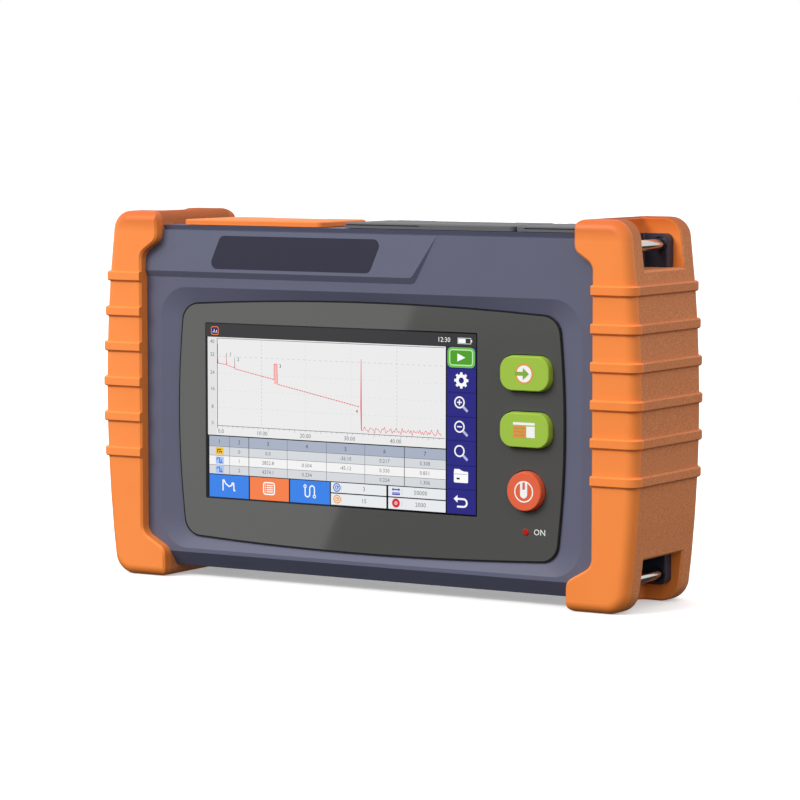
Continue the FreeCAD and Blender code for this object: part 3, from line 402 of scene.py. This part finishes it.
# Plot: paper, margin, axes and dashed grid.
PLOT_LEFT, PLOT_TOP, PLOT_RIGHT, PLOT_FOOT = 0.0085, 0.0800, 0.8895, 0.6380
AXIS_ACROSS, AXIS_DOWN, AXIS_END = 0.0454, 0.5835, 0.886
area(PLOT_LEFT, PLOT_TOP, PLOT_RIGHT, PLOT_FOOT, 2, "paper")
area(PLOT_LEFT, PLOT_TOP, 0.0420, PLOT_FOOT, 3, "margin")
stroke([(AXIS_ACROSS, 0.085), (AXIS_ACROSS, 0.598)], 0.3, 4, "axis")
stroke([(AXIS_ACROSS, AXIS_DOWN), (AXIS_END, AXIS_DOWN)], 0.26, 4, "figure")
stroke([(AXIS_ACROSS, 0.0870), (AXIS_END, 0.0870)], 0.24, 4, "figure")
for across, shade in ((0.2135, "dash"), (0.3800, "faint dash"), (0.5480, "faint dash"),
                      (0.7150, "dash")):
    dashes((across, 0.092), (0.0, 0.0222), (0.0, 0.011), 22, 0.2, 4, shade)
for down, shade in ((0.1880, "dash"), (0.2850, "faint dash"), (0.3820, "faint dash"),
                    (0.4790, "faint dash")):
    dashes((0.050, down), (0.02, 0.0), (0.009, 0.0), 42, 0.17, 4, shade)
for i in range(43):
    across, tick = AXIS_ACROSS + i * 0.01955, 0.016 if i % 5 == 0 else 0.009
    stroke([(across, AXIS_DOWN), (across, AXIS_DOWN + tick)], 0.16, 4, "figure")
for value, down in (("40", 0.1065), ("32", 0.1800), ("24", 0.2824), ("16", 0.3750), ("8", 0.4771),
                    ("0", 0.5700)):
    number(value, 0.0265, down, 1.75, 4, "figure")
for value, across in (("0.0", 0.0585), ("10.00", 0.2153), ("20.00", 0.3783), ("30.00", 0.5420),
                      ("40.00", 0.7103)):
    number(value, across, 0.6155, 1.95, 4, "figure")

# Trace: a start spike, two reflections, one broad one, the long slope, the end and the noise.
plate(picture, [at(0.0465, 0.175), at(0.0500, 0.2300), at(0.0465, 0.2300)], *laid(5, "trace"))
stroke([(0.0465, 0.120), (0.0465, 0.1800)], 0.32, 5, "axis")
stroke([(0.0465, 0.180), (0.0478, 0.2290)], 0.42, 6, "trace")
stroke([(0.048, 0.2285), (0.0800, 0.2340)], 0.24, 5, "trace")
stroke([(0.0826, 0.2370), (0.1120, 0.2520)], 0.22, 5, "trace")
for rise, peak, fall, mark in (((0.0796, 0.2350), (0.0808, 0.1680), (0.0826, 0.2365), (0.0810, 0.2000)),
                               ((0.1110, 0.2540), (0.1122, 0.1960), (0.1140, 0.2565), (0.1124, 0.2260))):
    plate(picture, [at(*rise), at(*peak), at(*fall)], *laid(5, "trace"))
    stroke([peak, mark], 0.2, 6, "axis")
dashes((0.1145, 0.2570), (0.00925, 0.00925 * 0.335), (0.0072, 0.0024), 16, 0.33, 5, "trace")
area(0.2618, 0.2190, 0.2735, 0.3320, 5, "pale trace")
stroke([(0.2618, 0.3070), (0.2620, 0.2190), (0.2732, 0.2190), (0.2750, 0.3320)], 0.22, 6, "trace")
dashes((0.2760, 0.3325), (0.0098, 0.0098 * 0.338), (0.0076, 0.0026), 31, 0.33, 5, "trace")
fibre_end = ((0.5826, 0.4360), (0.5842, 0.1700), (0.5860, 0.1700), (0.5876, 0.5650), (0.5846, 0.5650))
plate(picture, [at(*corner) for corner in fibre_end], *laid(5, "trace"))
noise = [(0.5885, 0.5680)]
for i in range(1, 64):
    wave = 0.010 * sin(i * 2.7) + 0.007 * sin(i * 1.31 + 1.0) + 0.005 * sin(i * 5.1)
    dip = 0.010 if i % 9 == 4 else 0.0
    noise.append((0.5885 + i * 0.00455, 0.5570 + wave + dip))
for start, end in zip(noise, noise[1:]):
    stroke([start, end], 0.22, 5, "trace")
for value, across, down in (("1", 0.0966, 0.1754), ("2", 0.1258, 0.2032), ("3", 0.2850, 0.2301),
                            ("4", 0.5692, 0.4614)):
    number(value, across, down, 1.7, 5, "axis")

# Table of events: a heading, three rows, column rules and a badge in each row.
COLUMNS = (0.0135, 0.0912, 0.1650, 0.3104, 0.4566, 0.5980, 0.7421, 0.8895)
ROWS = (0.6440, 0.7025, 0.7545, 0.8085, 0.8590)
EVENTS = (("0", "0.0", "", "-36.10", "0.217", "0.308"),
          ("1", "2852.8", "0.504", "-45.12", "0.330", "0.851"),
          ("2", "4274.1", "0.234", "", "0.224", "1.306"))
column_middles = [(left + right) / 2 for left, right in zip(COLUMNS, COLUMNS[1:])]
row_middles = [(top + bottom) / 2 for top, bottom in zip(ROWS, ROWS[1:])]
for shade, top, bottom in zip(("heading", "row", "white row", "row"), ROWS, ROWS[1:]):
    area(COLUMNS[0], top, COLUMNS[-1], bottom, 2, shade)
for down in ROWS[1:4]:
    stroke([(COLUMNS[0], down), (COLUMNS[-1], down)], 0.2, 3, "figure")
for across in COLUMNS[1:-1]:
    width, shade = (0.32, "axis") if across in (COLUMNS[2], COLUMNS[6]) else (0.2, "figure")
    stroke([(across, ROWS[0]), (across, ROWS[-1])], width, 4, shade)
for i, across in enumerate(column_middles):
    number(str(i + 1), across, 0.6745, 1.9, 3, "dark figure")
for down, values in zip(row_middles[1:], EVENTS):
    for across, value in zip(column_middles[1:], values):
        if value:
            number(value, across, down, 1.75, 4, "figure")
for down, shade in zip(row_middles[1:], ("amber", "sky", "sky")):
    area(0.0380, down - 0.0205, 0.0688, down + 0.0205, 4, shade)
down = row_middles[1]
stroke([(0.0455, down + 0.011), (0.0455, down - 0.009), (0.0600, down - 0.009)], 0.45, 5, "dark figure")
stroke([(0.0520, down + 0.010), (0.0520, down + 0.002), (0.0605, down + 0.002), (0.0605, down + 0.012)],
       0.4, 5, "dark figure")
for down in row_middles[2:]:
    stroke([(0.0410, down - 0.002), (0.0460, down - 0.013), (0.0530, down - 0.013),
            (0.0530, down + 0.013), (0.0590, down + 0.013), (0.0640, down + 0.013)], 0.42, 5, "deep blue")
    stroke([(0.0590, down + 0.013), (0.0590, down - 0.006)], 0.42, 5, "deep blue")

# Tabs: a trace, a list and a fibre path.
for left, right, shade in ((0.0135, 0.1639, "tab"), (0.1685, 0.3160, "chosen tab"),
                           (0.3206, 0.4691, "tab")):
    area(left, 0.8640, right, 0.9915, 2, shade)
stroke([(0.0655, 0.9530), (0.0655, 0.8930), (0.0690, 0.8930), (0.0760, 0.9130), (0.0890, 0.9280),
        (0.1000, 0.9200), (0.1000, 0.9080), (0.1065, 0.9080), (0.1075, 0.9500), (0.1125, 0.9500)],
       0.62, 3, "white")
sheet = at(0.2411, 0.9243)
rounded_plate(picture, sheet, 6.5, 5.9, 1.3, *laid(3, "white"))
rounded_plate(picture, sheet, 5.3, 4.7, 0.8, *laid(4, "chosen tab"))
for down in (0.9065, 0.9185, 0.9305, 0.9425):
    stroke([(0.2262, down), (0.2300, down)], 0.5, 5, "white")
    stroke([(0.2325, down), (0.2562, down)], 0.5, 5, "white")
fibre = at(0.3951, 0.9240)
down_bend, up_bend = around(fibre, (-1.35, -1.3), (1.15, 1.3))
for run in (around(fibre, (-2.6, 1.7), (-2.6, -1.3)), round_points(down_bend, 1.25, 180, 360, 10),
            around(fibre, (-0.1, -1.3), (-0.1, 1.3)), round_points(up_bend, 1.25, 180, 0, 10),
            around(fibre, (2.4, 1.3), (2.4, -1.6))):
    line(picture, run, 0.6, *laid(3, "white"))
for tip in around(fibre, (-2.6, 2.2), (2.4, -2.2)):
    disc(picture, tip, 0.85, *laid(4, "white"), hole=0.42, segments=20)

# Four settings beside the tabs, each with a round badge and a value.
for left, right in ((0.4732, 0.6765), (0.6835, 0.8895)):
    for top, bottom in ((0.8640, 0.9205), (0.9270, 0.9895)):
        area(left, top, right, bottom, 2, "cell")
for across, down, shade in ((0.4950, 0.8918, "ring blue"), (0.4960, 0.9570, "ring orange")):
    disc(picture, at(across, down), 2.0, *laid(3, shade), hole=1.45)
    disc(picture, at(across, down), 1.0, *laid(3, shade), hole=0.55)
    stroke([(across, down), (across + 0.007, down - 0.008)], 0.5, 4, shade)
disc(picture, at(0.7114, 0.9560), 2.05, *laid(3, "ring red"))
disc(picture, at(0.7114, 0.9560), 0.75, *laid(4, "cell"), hole=0.4)
stroke([(0.6975, 0.8810), (0.7255, 0.8810)], 0.6, 3, "indigo")
for tip, back in ((0.6965, 0.7025), (0.7265, 0.7205)):
    plate(picture, [at(tip, 0.8810), at(back, 0.8700), at(back, 0.8920)], *laid(4, "indigo"))
area(0.6975, 0.8965, 0.7255, 0.9115, 3, "indigo")
for i in range(5):
    area(0.7000 + i * 0.005, 0.8990, 0.7020 + i * 0.005, 0.9050, 4, "cell")
for rule, across, down, value in ((0.5120, 0.5950, 0.8930, "3"), (0.5120, 0.5950, 0.9590, "15"),
                                  (0.7330, 0.8000, 0.8930, "50000"), (0.7330, 0.8000, 0.9590, "2000")):
    number(value, across, down, 2.0, 3, "figure")
    stroke([(rule, down - 0.016), (rule, down + 0.016)], 0.18, 3, "dash")

# Tools down the right side: start, settings, closer, wider, whole, files and back.
TOOLS_LEFT, TOOLS_RIGHT = 0.8940, 0.9965
area(TOOLS_LEFT, PLOT_TOP, TOOLS_RIGHT, 0.9915, 2, "tools")
for down in (0.1960, 0.3272, 0.4600, 0.5903, 0.7263, 0.8572):
    area(TOOLS_LEFT, down - 0.003, TOOLS_RIGHT, down + 0.003, 3, "tool edge")
play = at(0.9443, 0.1365)
for width, height, corner, layer, shade in ((13.9, 8.9, 2.0, 3, "leaf"), (12.0, 7.2, 1.4, 4, "pale leaf"),
                                            (11.0, 6.2, 0.9, 5, "grass")):
    rounded_plate(picture, play, width, height, corner, *laid(layer, shade))
plate(picture, around(play, (-1.9, 1.8), (-1.9, -1.8), (2.2, 0.0)), *laid(6, "white"))
gear = at(0.9449, 0.2610)
disc(picture, gear, 2.75, *laid(3, "white"), hole=1.3)
for root, tip in zip(round_points(gear, 2.4, 0, 315, 7), round_points(gear, 3.55, 0, 315, 7)):
    strip(picture, root, tip, 1.2, *laid(3, "white"))
for down, sign in ((0.3810, "+"), (0.5140, "-"), (0.6469, "")):
    lens = at(0.9385, down)
    disc(picture, lens, 2.65, *laid(3, "white"), hole=2.0)
    strip(picture, *around(lens, (1.9, -1.9), (4.1, -3.9)), 1.1, *laid(3, "grip"))
    if sign:
        strip(picture, *around(lens, (-1.2, 0.0), (1.2, 0.0)), 0.55, *laid(3, "white"))
    if sign == "+":
        strip(picture, *around(lens, (0.0, -1.2), (0.0, 1.2)), 0.55, *laid(4, "white"))
folder = at(0.9441, 0.7890)
rounded_plate(picture, folder, 7.2, 5.0, 0.5, *laid(3, "white"))
plate(picture, around(folder, (-3.6, 1.9), (3.6, 1.9), (0.2, 2.9), (-0.8, 3.5), (-3.4, 3.5)),
      *laid(3, "white"))
strip(picture, *around(folder, (-3.3, 1.3), (3.3, 1.3)), 0.35, *laid(4, "grip"))
strip(picture, *around(folder, (-2.2, -0.7), (-0.6, -0.7)), 0.8, *laid(4, "axis"))
back = at(0.9441, 0.9240)
strip(picture, *around(back, (-2.4, 1.2), (1.3, 1.2)), 0.85, *laid(3, "white"))
line(picture, round_points(around(back, (1.3, -0.5))[0], 1.7, 90, -90, 10), 0.85, *laid(3, "white"))
strip(picture, *around(back, (-2.0, -2.2), (1.3, -2.2)), 0.85, *laid(3, "white"))
plate(picture, around(back, (-3.7, 1.2), (-1.7, -0.5), (-1.7, 2.9)), *laid(4, "white"))
face_user(picture)
screen_picture = finish_piece(picture, "screen_picture", *[lit_display(shade) for shade in SHADES])
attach(screen_picture, "case")


# ---- Front panel --------------------------------------------------------------------------------
# One smoked acrylic panel, moulded to a mirror gloss and snapped into the dish of the front half. It
# is grey right through, so only a long soft reflection breaks it. A small word names the lamp.
dress(moulded("smoked grey gloss acrylic", "#515150", 0.05, 40.0, 0.0, tone=0.02, drift_mm=60.0, ior=1.49),
      "front_panel")
white_ink = moulded("white screen-printed ink", "#f4f4f2", 0.5, 0.5, 0.005, tone=0.02)
# Black ink for painted shade in the gaps round the panel and round the keys.
gap_shade_ink = moulded("black painted gap shade", "#0c0c0e", 0.5, 0.5, 0.005, tone=0.02, specular=0.2)
panel_low, panel_high = [[c / MM for c in corner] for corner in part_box("front_panel")]

# A black line round the panel is painted shade in the gap to the dish. It follows the outer edge of the
# panel's own front face.
EDGE_LINE, EDGE_LIFT = 0.55, 0.02   # mm wide, and mm in front of the panel
HOLES_X, HOLES_LOW, HOLES_HIGH = 96.0, 25.0, 121.0   # the holes for window and keys lie within these


def on_outline(corner):
    """True outside the part of the panel that has the holes."""
    return abs(corner.co.x) > HOLES_X * MM or not HOLES_LOW * MM < corner.co.z < HOLES_HIGH * MM


rim = bmesh.new()
rim.from_mesh(nodes["front_panel"].data)
bmesh.ops.remove_doubles(rim, verts=rim.verts[:], dist=0.005 * MM)
rim.normal_update()
not_front = [face for face in rim.faces if face.normal.y > -0.99
             or face.calc_center_median().y > (panel_low[1] + 0.05) * MM]
bmesh.ops.delete(rim, geom=not_front, context="FACES")
outline = [edge for edge in rim.edges if edge.is_boundary and all(map(on_outline, edge.verts))]
front_faces = rim.faces[:]
grown = [part for part in bmesh.ops.extrude_edge_only(rim, edges=outline)["geom"]
         if isinstance(part, bmesh.types.BMVert)]
middle = [(low + high) / 2 for low, high in zip(panel_low, panel_high)]
growth = [1 + EDGE_LINE / (middle[i] - panel_low[i]) for i in (0, 2)]
bmesh.ops.scale(rim, vec=(growth[0], 1.0, growth[1]), verts=grown,
                space=Matrix.Translation([-c * MM for c in middle]))
bmesh.ops.delete(rim, geom=front_faces, context="FACES")
bmesh.ops.translate(rim, vec=(0.0, -EDGE_LIFT * MM, 0.0), verts=rim.verts[:])
face_user(rim)
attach(finish_piece(rim, "panel_gap_shade_line", gap_shade_ink), "case")

word = bmesh.new()
figures(word, "ON", (89.0, 32.3), 2.7, panel_low[1] - LAYER, 0)
face_user(word)
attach(finish_piece(word, "lamp_word", white_ink), "case")


# ---- Keys and lamp ------------------------------------------------------------------------------
# Three silicone keys, each on a stem with a flange that stops behind the case wall. They press on one
# pad over the key board, and their marks are printed. The lamp is a rod of red acrylic.
dress(moulded("green silicone", "#9dc041", 0.42, 0.8, 0.015, tone=0.03, specular=0.35, ior=1.43),
      "enter_key", "menu_key")
dress(moulded("red silicone", "#e2623d", 0.42, 0.8, 0.015, tone=0.03, specular=0.35, ior=1.43),
      "power_key")
dress(moulded("grey silicone pad", "#8d9094", 0.55, 1.0, 0.02, ior=1.43), "keypad_mat")
dress(moulded("red cast acrylic", "#b0261c", 0.08, 20.0, 0.0, tone=0.05), "status_led")
orange_ink = moulded("orange screen-printed ink", "#e58a3c", 0.5, 0.5, 0.005, tone=0.02)
green_ink = moulded("green screen-printed ink", "#7fa82c", 0.5, 0.5, 0.005, tone=0.02)
KEY_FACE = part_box("enter_key")[0][1] / MM - LAYER
WHITE, ORANGE, GREEN = 0, 1, 2   # slots of the marks


def key_place(key):
    """Middle, width and height in mm of a key with its flange."""
    low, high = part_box(key)
    middle = ((low[0] + high[0]) / 2 / MM, (low[2] + high[2]) / 2 / MM)
    return middle, (high[0] - low[0]) / MM, (high[2] - low[2]) / MM


# A black ring round each key's hole is painted shade: it stands for the shaded gap round the key.
edges = bmesh.new()
for key, corner in (("enter_key", 7.4), ("menu_key", 7.4), ("power_key", 10.09)):
    middle, width, height = key_place(key)
    rounded_plate(edges, middle, width + 0.1, height + 0.1, corner, panel_low[1] - EDGE_LIFT, 0)
whole = edges.faces[:]
bmesh.ops.inset_individual(edges, faces=whole, thickness=0.8 * MM)
bmesh.ops.delete(edges, geom=whole, context="FACES_ONLY")
face_user(edges)
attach(finish_piece(edges, "key_gap_shade_rings", gap_shade_ink), "case")

middle = key_place("enter_key")[0]
enter_mark = bmesh.new()
disc(enter_mark, middle, 4.4, KEY_FACE, ORANGE, hole=3.75, segments=40)
disc(enter_mark, middle, 3.7, KEY_FACE, WHITE, segments=40)
strip(enter_mark, *around(middle, (-4.5, 0.0), (-0.2, 0.0)), 1.7, KEY_FACE - LAYER, GREEN)
plate(enter_mark, around(middle, (-0.6, 2.6), (-0.6, -2.6), (2.5, 0.0)), KEY_FACE - 2 * LAYER, GREEN)
face_user(enter_mark)
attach(finish_piece(enter_mark, "enter_key_mark", white_ink, orange_ink, green_ink), "enter_key")

middle = key_place("menu_key")[0]
menu_mark = bmesh.new()
strip(menu_mark, *around(middle, (-5.4, 2.9), (5.4, 2.9)), 1.1, KEY_FACE, WHITE)
strip(menu_mark, *around(middle, (-5.4, -0.6), (0.9, -0.6)), 5.2, KEY_FACE, ORANGE)
for rise in (0.9, -0.6, -2.1):
    strip(menu_mark, *around(middle, (-4.6, rise), (0.2, rise)), 0.4, KEY_FACE - LAYER, GREEN)
strip(menu_mark, *around(middle, (1.2, -0.6), (5.4, -0.6)), 4.9, KEY_FACE, WHITE)
face_user(menu_mark)
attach(finish_piece(menu_mark, "menu_key_mark", white_ink, orange_ink, green_ink), "menu_key")

middle = key_place("power_key")[0]
power_mark = bmesh.new()
disc(power_mark, middle, 4.7, KEY_FACE, WHITE, hole=4.1, segments=40)
for side in (-1.2, 1.2):
    strip(power_mark, *around(middle, (side, 4.2), (side, -1.1)), 1.15, KEY_FACE - LAYER, WHITE)
strip(power_mark, *around(middle, (0.0, 0.9), (0.0, -1.1)), 1.3, KEY_FACE - LAYER, WHITE)
disc(power_mark, around(middle, (0.0, -1.1))[0], 1.78, KEY_FACE - 2 * LAYER, WHITE, segments=24)
face_user(power_mark)
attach(finish_piece(power_mark, "power_key_mark", white_ink), "power_key")


# ---- Nameplate ----------------------------------------------------------------------------------
# A slanted plate in navy ABS, glued on the wedge at the front's upper left. Nothing is printed on it.
dress(moulded("navy satin ABS", "#201e34", 0.5, 0.7, 0.015, specular=0.3), "nameplate")


# ---- Port covers --------------------------------------------------------------------------------
# Flaps of TPE over the ports in the top. Each turns up and back on a steel pin at its rear edge. The
# left one is orange; the right two are grey, and look like one long flap with a seam.
dress(moulded("grey TPE", "#5a5a5d", 0.6, 0.6, 0.03, specular=0.35), "usb_cover", "dc_cover")
dress(moulded("orange TPE", "#ec7f36", 0.55, 0.6, 0.03, specular=0.3), "optical_cover")
dress(moulded("ground stainless rod", "#b8b4b0", 0.2, 4.0, 0.005, metal=1.0), "optical_cover_pin",
      "usb_cover_pin", "dc_cover_pin", "stand_pins")


# ---- Bumpers ------------------------------------------------------------------------------------
# An orange TPE bumper is moulded over each end. Its front and back are smooth from a polished tool.
# Its side and top come from a grained tool: duller and finely speckled, with a painted sheen in a paler,
# greyer orange.
# Where the grain ends, the painted sheen of the side and top ends too.
FRONT_FROM, FRONT_TO = 27.0, 27.5         # mm from the middle to the front or back, where the grain ends
NOTCH_MIDDLE, NOTCH_START = 84.6, 62.15   # height half way between the notches, and their start from there
NOTCH_HALF, NOTCH_SEAT = 18.4, 115.2      # half of a notch from front to back, and the bracket's seat
# Over these heights painted shade darkens the orange.
SHADE_FROM, SHADE_TO = 159.0, 168.0           # heights over which the orange deepens
GRAIN, DRIFT = 0.7, 30.0                  # mm; real pits are about 0.3 mm, and are drawn wider to show

overmould, tree, output = new_material("orange TPE overmould")
where = add(tree, "ShaderNodeTexCoord").outputs["Object"]
apart = add(tree, "ShaderNodeSeparateXYZ", {"Vector": where})
from_middle = add(tree, "ShaderNodeMath", {0: apart.outputs["Y"]}, operation="ABSOLUTE")
outer_zone = add(tree, "ShaderNodeMapRange", {"Value": from_middle.outputs[0], "From Min": FRONT_FROM * MM,
                                              "From Max": FRONT_TO * MM})
# The walls of the strap notches are smooth too.
from_half = add(tree, "ShaderNodeMath", {0: apart.outputs["Z"], 1: NOTCH_MIDDLE * MM}, operation="SUBTRACT")
beyond = add(tree, "ShaderNodeMath", {0: from_half.outputs[0]}, operation="ABSOLUTE")
above_ribs = add(tree, "ShaderNodeMath", {0: beyond.outputs[0], 1: NOTCH_START * MM},
                 operation="GREATER_THAN")
between = add(tree, "ShaderNodeMath", {0: from_middle.outputs[0], 1: NOTCH_HALF * MM},
              operation="LESS_THAN")
sideways = add(tree, "ShaderNodeMath", {0: apart.outputs["X"]}, operation="ABSOLUTE")
outside = add(tree, "ShaderNodeMath", {0: sideways.outputs[0], 1: NOTCH_SEAT * MM},
              operation="GREATER_THAN")
level = add(tree, "ShaderNodeMath", {0: above_ribs.outputs[0], 1: between.outputs[0]}, operation="MULTIPLY")
in_notch = add(tree, "ShaderNodeMath", {0: level.outputs[0], 1: outside.outputs[0]}, operation="MULTIPLY")
smooth_zone = add(tree, "ShaderNodeMath", {0: outer_zone.outputs["Result"], 1: in_notch.outputs[0]},
                  operation="MAXIMUM")
pits = add(tree, "ShaderNodeTexNoise", {"Vector": where, "Scale": 1000 / GRAIN, "Detail": 2.0})
cloud = add(tree, "ShaderNodeTexNoise", {"Vector": where, "Scale": 1000 / DRIFT, "Detail": 1.0})
speckle = add(tree, "ShaderNodeMapRange", {"Value": pits.outputs["Fac"], "From Min": 0.36,
                                           "From Max": 0.64})
# The grained side and top are painted paler and greyer: a painted sheen over the real speckle of the grain.
grain_and_sheen = add(tree, "ShaderNodeMix", {0: speckle.outputs["Result"], 6: linear("#cf7a4a"),
                                      7: linear("#e2935f")}, data_type="RGBA")
polished = add(tree, "ShaderNodeMix", {0: cloud.outputs["Fac"], 6: linear("#f4873a"),
                                       7: linear("#fc9044")}, data_type="RGBA")
# Towards the top the orange is painted darker: painted shade on the upper ends of the bumpers.
top_shade = add(tree, "ShaderNodeMapRange", {"Value": apart.outputs["Z"], "From Min": SHADE_FROM * MM,
                                            "From Max": SHADE_TO * MM})
shaded_grain = add(tree, "ShaderNodeMix", {0: top_shade.outputs["Result"], 6: grain_and_sheen.outputs[2],
                                           7: linear("#aa541c")}, data_type="RGBA")
shaded_polish = add(tree, "ShaderNodeMix", {0: top_shade.outputs["Result"], 6: polished.outputs[2],
                                            7: linear("#cf6019")}, data_type="RGBA")
skin = add(tree, "ShaderNodeMix", {0: smooth_zone.outputs[0], 6: shaded_grain.outputs[2],
                                   7: shaded_polish.outputs[2]}, data_type="RGBA")
gloss = add(tree, "ShaderNodeMapRange", {"Value": smooth_zone.outputs[0], "To Min": 0.68, "To Max": 0.42})
depth = add(tree, "ShaderNodeMapRange", {"Value": smooth_zone.outputs[0], "To Min": 0.045 * MM,
                                         "To Max": 0.004 * MM})
relief = add(tree, "ShaderNodeBump", {"Height": pits.outputs["Fac"], "Distance": depth.outputs["Result"]})
rubber = add(tree, "ShaderNodeBsdfPrincipled",
             {"Base Color": skin.outputs[2], "Roughness": gloss.outputs["Result"], "IOR": 1.5,
              "Specular IOR Level": 0.3, "Normal": relief.outputs["Normal"]})
tree.links.new(rubber.outputs[0], output.inputs["Surface"])
dress(overmould, "left_bumper", "right_bumper")


# ---- Strap brackets and bars --------------------------------------------------------------------
# A navy nylon bracket sits in each notch. A steel bar is pressed through its two lugs, and a carrying
# strap can be passed round the bar.
BRACKETS = [f"{level}_{side}" for level in ("top", "bottom") for side in ("left", "right")]
dress(moulded("navy glass-filled nylon", "#2c2c3c", 0.45, 0.8, 0.02),
      *["strap_bracket_" + name for name in BRACKETS])
dress(moulded("polished stainless bar", "#cfcac6", 0.16, 6.0, 0.004, metal=1.0),
      *["strap_bar_" + name for name in BRACKETS])


# ---- Screws -------------------------------------------------------------------------------------
# Cap screws in blackened steel close the case and the battery door from the back.
dress(moulded("black-oxide steel", "#3a3a3d", 0.35, 1.0, 0.01, metal=1.0), "housing_screws",
      "battery_door_screws")
